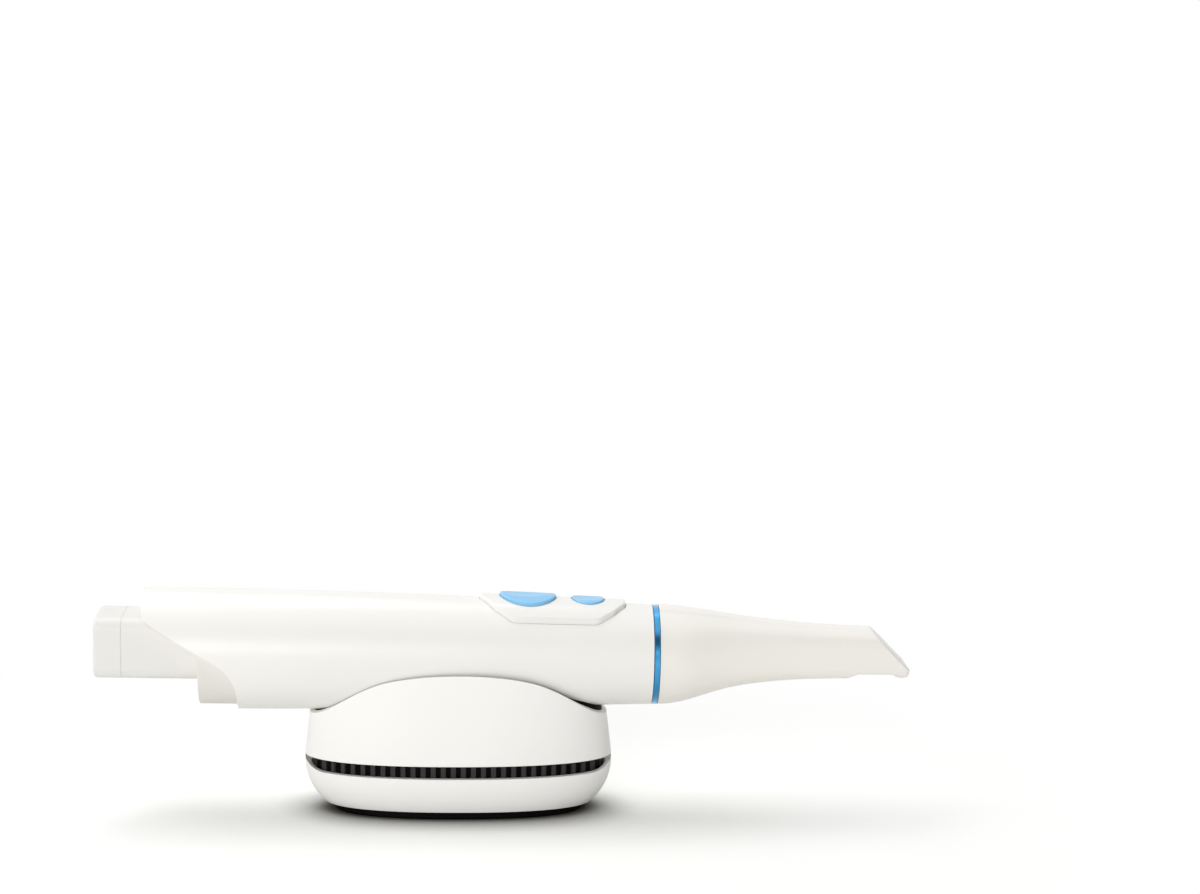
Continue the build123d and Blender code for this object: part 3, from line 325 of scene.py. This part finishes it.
@dataclass(frozen=True)
class TurnedMetal(Finish):
    """Turned and anodised metal: tool marks around the scanner's axis draw reflections out into bands.

    Real tool marks are a few hundredths of a millimetre apart, so they are drawn coarser to show.
    """

    colour: str
    cloud: str
    roughness: float
    mark_mm: float
    mark_depth_mm: float
    film: float
    film_roughness: float = 0.1
    mark_sway: float = 0.6
    mark_detail: float = 1.0
    gloss_share: float = 0.2
    cloud_mm: float = 6.0

    def shade(self, tree: Tree) -> Node:
        """Add tool marks and clouds under a metal shader with a clear film.

        Args:
            tree: The material's node tree.

        Returns:
            The shader node.
        """
        place = add_node(tree, "ShaderNodeTexCoord").outputs["Object"]
        along = add_node(
            tree,
            "ShaderNodeMapping",
            {"Rotation": (0.0, -math.radians(REST_TILT_DEG), 0.0)},
            {"Vector": place},
        )
        marks = add_node(
            tree,
            "ShaderNodeTexWave",
            {
                "bands_direction": "X",
                "Scale": WAVE_PERIOD / (self.mark_mm * MM),
                "Distortion": self.mark_sway,
                "Detail": self.mark_detail,
            },
            {"Vector": along.outputs["Vector"]},
        )
        clouds = add_node(
            tree,
            "ShaderNodeTexNoise",
            {"Scale": 1 / (self.cloud_mm * MM), "Detail": FINE_DETAIL},
            {"Vector": place},
        )
        tone = add_node(
            tree,
            "ShaderNodeMix",
            {"data_type": "RGBA", COLOUR_A: linear(self.colour), COLOUR_B: linear(self.cloud)},
            {FACTOR: clouds.outputs["Fac"]},
        )
        return self.surface(
            tree,
            {"Metallic": 1.0, "Coat Weight": self.film, "Coat Roughness": self.film_roughness},
            tone.outputs[COLOUR_OUT],
            marks.outputs["Fac"],
            (self.roughness * (1 - self.gloss_share), self.roughness * (1 + self.gloss_share)),
            self.mark_depth_mm,
        )


@dataclass(frozen=True)
class RibbedPlastic(Finish):
    """Black plastic moulded with upright ribs: painted light makes the rib faces grey, and painted shade keeps
    the recesses black.
    """

    rib_face_light: str
    recess_shade: str
    roughness: float
    pitch_mm: float
    grain: Grain = Grain.SPARK
    face_from: float = 0.4
    face_at: float = 0.6
    spread: float = 0.08
    ior: float = 1.53
    shine: float = 0.05

    def shade(self, tree: Tree) -> Node:
        """Add painted light on the rib faces, painted shade in the recesses, and grain under one shader.

        Args:
            tree: The material's node tree.

        Returns:
            The shader node.
        """
        grain_mm, depth_mm = self.grain.value
        place = add_node(tree, "ShaderNodeTexCoord").outputs["Object"]
        # Rib faces get painted light and the recesses between them painted shade, in step with the ribs' pitch
        ribs = add_node(
            tree,
            "ShaderNodeTexWave",
            {"bands_direction": "X", "Scale": WAVE_PERIOD / (self.pitch_mm * MM)},
            {"Vector": place},
        )
        faces = add_node(
            tree,
            "ShaderNodeMapRange",
            {"From Min": self.face_from, "From Max": self.face_at},
            {"Value": ribs.outputs["Fac"]},
        )
        tone = add_node(
            tree,
            "ShaderNodeMix",
            {"data_type": "RGBA", COLOUR_A: linear(self.recess_shade), COLOUR_B: linear(self.rib_face_light)},
            {FACTOR: faces.outputs["Result"]},
        )
        grain = add_node(
            tree, "ShaderNodeTexNoise", {"Scale": 1 / (grain_mm * MM), "Detail": FINE_DETAIL}, {"Vector": place}
        )
        return self.surface(
            tree,
            {"IOR": self.ior, "Specular IOR Level": self.shine},
            tone.outputs[COLOUR_OUT],
            grain.outputs["Fac"],
            (self.roughness - self.spread, self.roughness + self.spread),
            depth_mm,
        )


@dataclass(frozen=True)
class Rubber(Finish):
    """Matt silicone rubber: near black, with a fine bloom of lint in specks and a soft skin.

    The real skin is too fine to show in the render, so it is drawn coarser.
    """

    colour: str
    lint: str
    roughness: float
    speck_mm: float = 1.4
    speck_detail: float = 4.0
    lint_from: float = 0.62
    lint_at: float = 0.78
    skin_mm: float = 0.6
    skin_depth_mm: float = 0.012
    spread: float = 0.1
    ior: float = 1.41
    shine: float = 0.1

    def shade(self, tree: Tree) -> Node:
        """Add lint specks and a skin under one shader.

        Args:
            tree: The material's node tree.

        Returns:
            The shader node.
        """
        place = add_node(tree, "ShaderNodeTexCoord").outputs["Object"]
        specks = add_node(
            tree,
            "ShaderNodeTexNoise",
            {"Scale": 1 / (self.speck_mm * MM), "Detail": self.speck_detail},
            {"Vector": place},
        )
        bloom = add_node(
            tree,
            "ShaderNodeMapRange",
            {"From Min": self.lint_from, "From Max": self.lint_at},
            {"Value": specks.outputs["Fac"]},
        )
        tone = add_node(
            tree,
            "ShaderNodeMix",
            {"data_type": "RGBA", COLOUR_A: linear(self.colour), COLOUR_B: linear(self.lint)},
            {FACTOR: bloom.outputs["Result"]},
        )
        skin = add_node(
            tree,
            "ShaderNodeTexNoise",
            {"Scale": 1 / (self.skin_mm * MM), "Detail": FINE_DETAIL},
            {"Vector": place},
        )
        return self.surface(
            tree,
            {"IOR": self.ior, "Specular IOR Level": self.shine},
            tone.outputs[COLOUR_OUT],
            skin.outputs["Fac"],
            (self.roughness - self.spread, self.roughness + self.spread),
            self.skin_depth_mm,
        )


@dataclass(frozen=True)
class PlatedMetal(Finish):
    """Plated metal: a clear metal colour that stains in patches, over brush lines drawn coarse enough to show."""

    colour: str
    stain: str
    roughness: float
    stain_mm: float = 5.0
    stain_detail: float = 4.0
    brush_mm: float = 0.4
    brush_depth_mm: float = 0.002
    brush_stretch: float = 20.0
    gloss_share: float = 0.3

    def shade(self, tree: Tree) -> Node:
        """Add stains and brush lines under a metal shader.

        Args:
            tree: The material's node tree.

        Returns:
            The shader node.
        """
        place = add_node(tree, "ShaderNodeTexCoord").outputs["Object"]
        stains = add_node(
            tree,
            "ShaderNodeTexNoise",
            {"Scale": 1 / (self.stain_mm * MM), "Detail": self.stain_detail},
            {"Vector": place},
        )
        drawn = add_node(
            tree, "ShaderNodeMapping", {"Scale": (1 / self.brush_stretch, 1.0, 1.0)}, {"Vector": place}
        )
        brush = add_node(
            tree,
            "ShaderNodeTexNoise",
            {"Scale": 1 / (self.brush_mm * MM), "Detail": FINE_DETAIL},
            {"Vector": drawn.outputs["Vector"]},
        )
        tone = add_node(
            tree,
            "ShaderNodeMix",
            {"data_type": "RGBA", COLOUR_A: linear(self.colour), COLOUR_B: linear(self.stain)},
            {FACTOR: stains.outputs["Fac"]},
        )
        return self.surface(
            tree,
            {"Metallic": 1.0},
            tone.outputs[COLOUR_OUT],
            brush.outputs["Fac"],
            (self.roughness * (1 - self.gloss_share), self.roughness * (1 + self.gloss_share)),
            self.brush_depth_mm,
        )


@dataclass(frozen=True)
class CircuitBoard(Finish):
    """Glass-fibre board under solder mask: copper runs show through it as a paler pattern, slightly raised.

    A run's width and length are shares of the distance between runs.
    """

    mask: str
    run: str
    run_mm: float = 1.2
    run_depth_mm: float = 0.03
    run_width: float = 0.08
    run_length: float = 3.0
    weave_mm: float = 0.8
    smoothest: float = 0.28
    roughest: float = 0.42
    ior: float = 1.55

    def shade(self, tree: Tree) -> Node:
        """Add copper runs under the mask, and the weave that shows in its gloss.

        Args:
            tree: The material's node tree.

        Returns:
            The shader node.
        """
        place = add_node(tree, "ShaderNodeTexCoord").outputs["Object"]
        runs = add_node(
            tree,
            "ShaderNodeTexBrick",
            {
                "Color1": linear(self.mask),
                "Color2": linear(self.mask),
                "Mortar": linear(self.run),
                "Scale": 1 / (self.run_mm * MM),
                "Mortar Size": self.run_width,
                "Brick Width": self.run_length,
                "Row Height": 1.0,
            },
            {"Vector": place},
        )
        relief = add_node(
            tree, "ShaderNodeBump", {"Distance": self.run_depth_mm * MM}, {"Height": runs.outputs["Fac"]}
        )
        weave = add_node(
            tree,
            "ShaderNodeTexNoise",
            {"Scale": 1 / (self.weave_mm * MM), "Detail": FINE_DETAIL},
            {"Vector": place},
        )
        gloss = add_node(
            tree,
            "ShaderNodeMapRange",
            {"To Min": self.smoothest, "To Max": self.roughest},
            {"Value": weave.outputs["Fac"]},
        )
        return add_node(
            tree,
            "ShaderNodeBsdfPrincipled",
            {"IOR": self.ior},
            {
                "Base Color": runs.outputs["Color"],
                "Roughness": gloss.outputs["Result"],
                "Normal": relief.outputs["Normal"],
            },
        )


@dataclass(frozen=True)
class OpticalGlass(Finish):
    """Polished glass with an anti-reflection film, which gives it a faint colour cast, and a trace of smear."""

    tint: str
    film_nm: float
    film_ior: float = 1.38
    ior: float = 1.52
    smear_mm: float = 4.0
    smear_detail: float = 5.0
    smear_from: float = 0.45
    smear_at: float = 0.8
    smoothest: float = 0.01
    roughest: float = 0.08

    def shade(self, tree: Tree) -> Node:
        """Add a smear under a clear shader.

        Args:
            tree: The material's node tree.

        Returns:
            The shader node.
        """
        place = add_node(tree, "ShaderNodeTexCoord").outputs["Object"]
        smear = add_node(
            tree,
            "ShaderNodeTexNoise",
            {"Scale": 1 / (self.smear_mm * MM), "Detail": self.smear_detail},
            {"Vector": place},
        )
        gloss = add_node(
            tree,
            "ShaderNodeMapRange",
            {
                "From Min": self.smear_from,
                "From Max": self.smear_at,
                "To Min": self.smoothest,
                "To Max": self.roughest,
            },
            {"Value": smear.outputs["Fac"]},
        )
        return add_node(
            tree,
            "ShaderNodeBsdfPrincipled",
            {
                "Base Color": linear(self.tint),
                "IOR": self.ior,
                "Transmission Weight": 1.0,
                "Thin Film Thickness": self.film_nm,
                "Thin Film IOR": self.film_ior,
            },
            {"Roughness": gloss.outputs["Result"]},
        )


# Satin ABS: a clean warm white, whose fine grain spreads the light to a soft sheen along the handle, with a
# painted highlight in white on its edges
SHELL_ABS = MouldedPlastic("satin_abs_shell", "#f0eeea", "#edebe7", WHITE, 0.34, Grain.SATIN)
# Spark-eroded ABS: a shade greyer and duller than the shell, so the step behind its edge reads, with a painted
# highlight on its edges
HOUSING_ABS = MouldedPlastic(
    "spark_eroded_abs_housing", "#e4e2dc", "#dedcd6", "#fbfaf7", 0.52, Grain.SPARK, edge_mm=0.35
)
# Spark-eroded ABS of the battery pack: as dull, with grey painted shade on its edges that draws its seam as a
# grey line
BATTERY_ABS = MouldedPlastic("spark_eroded_abs_battery", "#e5e3df", "#e0deda", "#b6b3ae", 0.5, Grain.SPARK)
# Polished ABS: the pad mirrors the light in a soft streak, and its edges carry a painted highlight
PAD_ABS = MouldedPlastic(
    "polished_abs_pad", "#edece9", "#ebeae6", "#f7f6f3", 0.24, Grain.POLISHED, spread=0.02
)
# Polished sky blue ABS, coloured all through, paler along its rounded edge, which is a painted highlight
BUTTON_ABS = MouldedPlastic(
    "polished_abs_button", "#84c3eb", "#80c0e9", "#98d0f2", 0.3, Grain.POLISHED, edge_mm=0.05, spread=0.02
)
# Anodised aluminium: a clear blue over turning marks, with light and dark bands around the ring
RING_ALUMINIUM = TurnedMetal("anodised_aluminium_ring", "#46a7df", "#3f9fd7", 0.22, 0.22, 0.003, 0.6)
# Polysulphone, which stands boiling: a little creamier than the handle and as smooth, with a painted highlight in
# white on its edges
TIP_PLASTIC = MouldedPlastic(
    "moulded_polysulphone_tip", "#f1eee8", "#eeebe4", WHITE, 0.3, Grain.SATIN, ior=1.63
)
# Satin ABS of the cradle: near white and a little duller than the handle, with a painted highlight in white on
# its edges
CRADLE_LOOK = ("#f6f5f2", "#f4f3f0", WHITE, 0.42, Grain.SATIN)
CRADLE_ABS = MouldedPlastic("satin_abs_cradle", *CRADLE_LOOK, edge_mm=0.4)
# The same ABS on the upper shell, with painted black shade in the saddle that draws a dark line under the handle
SADDLE_ABS = SaddlePlastic("satin_abs_saddle_painted_shade", *CRADLE_LOOK, edge_mm=0.4)
# Black ABS of the vent ring: painted light on the grey rib faces and painted shade in the black recesses, so they
# stand out against the dark gap
VENT_ABS = RibbedPlastic("black_abs_vent", "#3c3838", "#020202", 0.36, 3.496)
# Satin polycarbonate of the nose: a light warm grey, a shade darker than the tip that hides it, with a painted
# highlight on its edges
NOSE_PLASTIC = MouldedPlastic("satin_polycarbonate_nose", "#dedcd6", "#d9d7d1", "#ecebe6", 0.4, Grain.SATIN)
# Black anodised aluminium of the optics: dull, so no stray light comes back
OPTICS_ALUMINIUM = TurnedMetal("black_anodised_aluminium_optics", "#26282b", "#202225", 0.5, 0.3, 0.003, 0.2)
# Glass-filled nylon of the chassis: grey, with the dry look of fibres near the surface and a painted highlight on
# its edges
FRAME_NYLON = MouldedPlastic("glass_filled_nylon_frame", "#8f9296", "#868a8e", "#a2a5a9", 0.6, Grain.SPARK)
# Black nylon of the connector, the switches and the projector's block: black with a low sheen and a painted
# highlight on its edges
CONTACT_NYLON = MouldedPlastic(
    "black_nylon_contact_block", "#232324", "#1c1c1d", "#333334", 0.48, Grain.SPARK
)
# Shrink sleeve of the cell: thin slate blue film that shines in soft wrinkles, with a painted highlight on its
# edges
CELL_SLEEVE = MouldedPlastic("pvc_shrink_sleeve_cell", "#5a6f8c", "#536884", "#6b809c", 0.22, Grain.POLISHED)
# Silicone rubber of the foot and the liner: black and matt, with a trace of lint
SILICONE = Rubber("black_silicone_rubber", "#070606", "#121111", 0.55)
# Silicone rubber of the seal: the same, a little greyer and shinier where the tip rubs it
SEAL_SILICONE = Rubber("rubbed_silicone_rubber_seal", "#191818", "#2a2929", 0.45)
# Front-silvered glass: a bright, neutral mirror
MIRROR_SILVER = PlatedMetal("front_silvered_glass_mirror", "#e9edef", "#e4e9eb", 0.03)
# Gold plate on the battery's contacts: a warm yellow glint
CONTACT_GOLD = PlatedMetal("gold_plate_contacts", "#d9b665", "#cda654", 0.24)
# Zinc plate on the screws and the ballast: a cool grey with dull patches
ZINC_STEEL = PlatedMetal("zinc_plated_steel", "#b9bcc0", "#a5a9ae", 0.36)
# Solder mask over copper on all three boards: deep green with paler runs
BOARD_MASK = CircuitBoard("green_solder_mask_board", "#1f5a3b", "#2f7350")
# Window and lenses: clear, with a green and a violet cast from their films
WINDOW_GLASS = OpticalGlass("coated_glass_window", "#f4fbf8", 420.0)
LENS_GLASS = OpticalGlass("coated_glass_lens", "#f3f4fb", 560.0)


@dataclass(frozen=True)
class SubAssembly:
    """A group of CAD nodes that come apart together, with the finish of each."""

    title: str

    def finishes(self) -> dict[str, Finish]:
        """Give each node's name its finish."""
        raise NotImplementedError

    def dress(self, nodes: dict[str, bpy.types.Object]) -> None:
        """Put each finish in its node's material slot.

        Args:
            nodes: The CAD nodes by name.
        """
        for name, finish in self.finishes().items():
            slots = nodes[name].data.materials
            slots.clear()
            slots.append(finish.material())
            log.info("%s: %s in %s", self.title, name, finish.name)


@dataclass(frozen=True)
class Handle(SubAssembly):
    """The handle: outer shell, rear housing, control pad and what they hold."""

    title: str = "handle"

    def finishes(self) -> dict[str, Finish]:
        """List the finishes of the handle.

        Returns:
            Each node's name with its finish.
        """
        return {
            "handle_shell": SHELL_ABS,
            "rear_housing": HOUSING_ABS,
            "control_pad": PAD_ABS,
            "scan_button": BUTTON_ABS,
            "mode_button": BUTTON_ABS,
            "inner_frame": FRAME_NYLON,
            "main_board": BOARD_MASK,
            "board_screws": ZINC_STEEL,
            "button_board": BOARD_MASK,
            "tact_switches": CONTACT_NYLON,
            "battery_connector": CONTACT_NYLON,
        }


@dataclass(frozen=True)
class Nose(SubAssembly):
    """The nose with its ring, seal and window, and the optics behind it."""

    title: str = "nose"

    def finishes(self) -> dict[str, Finish]:
        """List the finishes of the nose and its optics.

        Returns:
            Each node's name with its finish.
        """
        return {
            "accent_ring": RING_ALUMINIUM,
            "nose_barrel": NOSE_PLASTIC,
            "nose_seal": SEAL_SILICONE,
            "front_window": WINDOW_GLASS,
            "optics_carrier": OPTICS_ALUMINIUM,
            "camera_barrel": OPTICS_ALUMINIUM,
            "camera_lens": LENS_GLASS,
            "camera_board": BOARD_MASK,
            "projector_module": CONTACT_NYLON,
            "projector_lens": LENS_GLASS,
        }


@dataclass(frozen=True)
class Tip(SubAssembly):
    """The pull-off tip and its mirror."""

    title: str = "tip"

    def finishes(self) -> dict[str, Finish]:
        """List the finishes of the tip's nodes by name."""
        return {"tip_sleeve": TIP_PLASTIC, "tip_mirror": MIRROR_SILVER}


@dataclass(frozen=True)
class BatteryPack(SubAssembly):
    """The battery pack that pulls out of the tail."""

    title: str = "battery pack"

    def finishes(self) -> dict[str, Finish]:
        """List the finishes of the battery pack.

        Returns:
            Each node's name with its finish.
        """
        return {
            "battery_case": BATTERY_ABS,
            "battery_cap": BATTERY_ABS,
            "battery_cell": CELL_SLEEVE,
            "battery_terminals": CONTACT_GOLD,
        }


@dataclass(frozen=True)
class Cradle(SubAssembly):
    """The desk cradle: two shells, the ribbed band between them, liner, foot and ballast."""

    title: str = "cradle"

    def finishes(self) -> dict[str, Finish]:
        """List the finishes of the cradle.

        Returns:
            Each node's name with its finish.
        """
        return {
            "cradle_upper_shell": SADDLE_ABS,
            "cradle_lower_shell": CRADLE_ABS,
            "cradle_vent_ring": VENT_ABS,
            "cradle_liner": SILICONE,
            "cradle_foot": SILICONE,
            "cradle_ballast": ZINC_STEEL,
            "cradle_screws": ZINC_STEEL,
        }


@dataclass(frozen=True)
class Studio:
    """Camera at the photograph's viewpoint, two soft boxes in a pale room, and a white sweep of floor."""

    camera_place: Place = (-0.0029, -0.9863, 0.290)
    camera_tilt_deg: float = 80.743
    sensor_mm: float = 36.0
    lens_mm: float = 86.05
    shift_x: float = 0.125
    sight: float = 200.0
    # Soft boxes: one above the back, and a lower one at the front left
    lamp_place: Place = (-0.35, 0.32, 1.15)
    lamp_size: Size = (1.1, 0.45)
    lamp_watts: float = 5.8
    fill_place: Place = (-0.5, -1.25, 0.4)
    fill_size: Size = (1.0, 0.5)
    fill_watts: float = 9.2
    # Room in front, from the ground up: a pale wall, a dull band and a lit ceiling, by the sine of the height
    wall: str = "#cccccc"
    wall_top: float = 0.34
    band: str = "#6c6c6c"
    band_from: float = 0.56
    band_top: float = 0.78
    ceiling_from: float = 0.92
    # Room behind, which is white, and on the right, which is duller, by the share of the way round
    back_from: float = -0.1
    back_at: float = 0.35
    side: str = "#9c9c9c"
    side_from: float = 0.2
    side_at: float = 0.9
    # Floor: paper that goes over to plain white further away, and throws a little less light back than it shows
    floor_half: float = 40.0
    paper: str = "#fcfcfa"
    paper_bounce: str = "#e2e2df"
    white_from: float = 0.06
    white_at: float = 0.27
    # Painted shade close under the object, by how open the floor is to the air
    contact: str = "#55534b"
    contact_reach: float = 0.021
    contact_samples: int = 8
    contact_closed: float = 0.25
    contact_open: float = 0.9

    def build(self) -> None:
        """Add the camera, the light and the floor."""
        scene = bpy.context.scene
        scene.view_settings.view_transform = "Standard"
        self.add_camera(scene)
        self.add_world(scene)
        self.add_lamp(scene, "overhead", self.lamp_place, self.lamp_size, self.lamp_watts)
        self.add_lamp(scene, "fill", self.fill_place, self.fill_size, self.fill_watts)
        self.add_floor()
        log.info("studio: camera, light and floor")

    def add_camera(self, scene: bpy.types.Scene) -> None:
        """Add the camera and make it the scene's.

        Args:
            scene: The scene that gets it.
        """
        data = bpy.data.cameras.new("camera")
        data.sensor_width = self.sensor_mm
        data.lens = self.lens_mm
        data.shift_x = self.shift_x
        data.clip_end = self.sight
        camera = bpy.data.objects.new("camera", data)
        camera.location = self.camera_place
        camera.rotation_euler = (math.radians(self.camera_tilt_deg), 0.0, 0.0)
        scene.collection.objects.link(camera)
        scene.camera = camera

    def add_world(self, scene: bpy.types.Scene) -> None:
        """Add the room, which lights the object and is seen as plain white past the floor.

        Args:
            scene: The scene that gets it.
        """
        world = bpy.data.worlds.new("studio")
        world.use_nodes = True
        scene.world = world
        tree = world.node_tree
        tree.nodes.clear()
        direction = add_node(tree, "ShaderNodeTexCoord")
        axes = add_node(tree, "ShaderNodeSeparateXYZ", links={"Vector": direction.outputs["Generated"]})
        stops = (
            (0.0, linear(self.wall)),
            (self.wall_top, linear(self.wall)),
            (self.band_from, linear(self.band)),
            (self.band_top, linear(self.band)),
            (self.ceiling_from, linear(WHITE)),
        )
        front = add_node(tree, "ShaderNodeValToRGB", {"stops": stops}, {"Fac": axes.outputs["Z"]})
        behind = add_node(
            tree,
            "ShaderNodeMapRange",
            {"From Min": self.back_from, "From Max": self.back_at},
            {"Value": axes.outputs["Y"]},
        )
        walls = add_node(
            tree,
            "ShaderNodeMix",
            {"data_type": "RGBA", COLOUR_B: linear(WHITE)},
            {FACTOR: behind.outputs["Result"], COLOUR_A: front.outputs["Color"]},
        )
        right = add_node(
            tree,
            "ShaderNodeMapRange",
            {"From Min": self.side_from, "From Max": self.side_at},
            {"Value": axes.outputs["X"]},
        )
        room = add_node(
            tree,
            "ShaderNodeMix",
            {"data_type": "RGBA", COLOUR_B: linear(self.side)},
            {FACTOR: right.outputs["Result"], COLOUR_A: walls.outputs[COLOUR_OUT]},
        )
        # The camera sees white, also through glass, and metal mirrors the room, whose walls are pale
        ray = add_node(tree, "ShaderNodeLightPath")
        seen = add_node(
            tree,
            "ShaderNodeMath",
            {"operation": "MAXIMUM"},
            {0: ray.outputs["Is Camera Ray"], 1: ray.outputs["Is Transmission Ray"]},
        )
        backdrop = add_node(
            tree,
            "ShaderNodeMix",
            {"data_type": "RGBA", COLOUR_B: linear(WHITE)},
            {FACTOR: seen.outputs["Value"], COLOUR_A: room.outputs[COLOUR_OUT]},
        )
        light = add_node(
            tree, "ShaderNodeBackground", {"Strength": 1.0}, {"Color": backdrop.outputs[COLOUR_OUT]}
        )
        add_node(tree, "ShaderNodeOutputWorld", links={"Surface": light.outputs["Background"]})

    def add_lamp(self, scene: bpy.types.Scene, name: str, place: Place, size: Size, watts: float) -> None:
        """Add a soft box that looks at the foot of the object.

        Args:
            scene: The scene that gets it.
            name: The lamp's name.
            place: Where it hangs.
            size: Its width and depth.
            watts: Its power.
        """
        data = bpy.data.lights.new(name, "AREA")
        data.shape = "RECTANGLE"
        data.size, data.size_y = size
        data.energy = watts
        lamp = bpy.data.objects.new(name, data)
        lamp.location = place
        lamp.rotation_euler = lamp.location.to_track_quat("Z", "Y").to_euler()
        scene.collection.objects.link(lamp)

    def add_floor(self) -> None:
        """Add the floor as a part of the stage."""
        bpy.ops.object.select_all(action="DESELECT")
        bpy.ops.mesh.primitive_plane_add(size=2 * self.floor_half)
        floor = bpy.context.active_object
        floor.name = "floor"
        floor.data.materials.append(self.paper_sheet())

    def paper_sheet(self) -> bpy.types.Material:
        """Build matt white paper, which keeps the shadow, takes painted shade close under the object, and goes
        over to plain white further away.

        Returns:
            The floor's material.
        """
        paper = bpy.data.materials.new("white_paper")
        paper.use_nodes = True
        tree = paper.node_tree
        tree.nodes.clear()
        place = add_node(tree, "ShaderNodeTexCoord").outputs["Object"]
        reach = add_node(tree, "ShaderNodeVectorMath", {"operation": "LENGTH"}, {0: place})
        far = add_node(
            tree,
            "ShaderNodeMapRange",
            {"interpolation_type": "SMOOTHSTEP", "From Min": self.white_from, "From Max": self.white_at},
            {"Value": reach.outputs["Value"]},
        )
        ray = add_node(tree, "ShaderNodeLightPath")
        mirrored = add_node(
            tree,
            "ShaderNodeMath",
            {"operation": "MAXIMUM"},
            {0: ray.outputs["Is Glossy Ray"], 1: ray.outputs["Is Transmission Ray"]},
        )
        seen = add_node(
            tree,
            "ShaderNodeMath",
            {"operation": "MAXIMUM"},
            {0: ray.outputs["Is Camera Ray"], 1: mirrored.outputs["Value"]},
        )
        share = add_node(
            tree,
            "ShaderNodeMath",
            {"operation": "MULTIPLY"},
            {0: far.outputs["Result"], 1: seen.outputs["Value"]},
        )
        sheet = add_node(
            tree,
            "ShaderNodeMix",
            {"data_type": "RGBA", COLOUR_A: linear(self.paper_bounce), COLOUR_B: linear(self.paper)},
            {FACTOR: ray.outputs["Is Camera Ray"]},
        )
        # Painted shade on the floor close under the object, darker where less air is open to it
        near = add_node(
            tree,
            "ShaderNodeAmbientOcclusion",
            {"samples": self.contact_samples, "Distance": self.contact_reach},
        )
        open_air = add_node(
            tree,
            "ShaderNodeMapRange",
            {"From Min": self.contact_closed, "From Max": self.contact_open},
            {"Value": near.outputs["AO"]},
        )
        painted_contact_shade = add_node(
            tree,
            "ShaderNodeMix",
            {"data_type": "RGBA", COLOUR_A: linear(self.contact)},
            {FACTOR: open_air.outputs["Result"], COLOUR_B: sheet.outputs[COLOUR_OUT]},
        )
        matt = add_node(tree, "ShaderNodeBsdfDiffuse", links={"Color": painted_contact_shade.outputs[COLOUR_OUT]})
        white = add_node(tree, "ShaderNodeEmission", {"Color": linear(WHITE), "Strength": 1.0})
        both = add_node(
            tree,
            "ShaderNodeMixShader",
            links={0: share.outputs["Value"], 1: matt.outputs["BSDF"], 2: white.outputs["Emission"]},
        )
        add_node(tree, "ShaderNodeOutputMaterial", links={"Surface": both.outputs["Shader"]})
        return paper


def main() -> None:
    """Load the frame, dress each sub-assembly in order and set the studio around it."""
    logging.basicConfig(level=logging.INFO, format="%(name)s: %(message)s")
    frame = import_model()
    for group in (Handle(), Nose(), Tip(), BatteryPack(), Cradle()):
        group.dress(frame["nodes"])
    Studio().build()


if __name__ == "__main__":
    main()
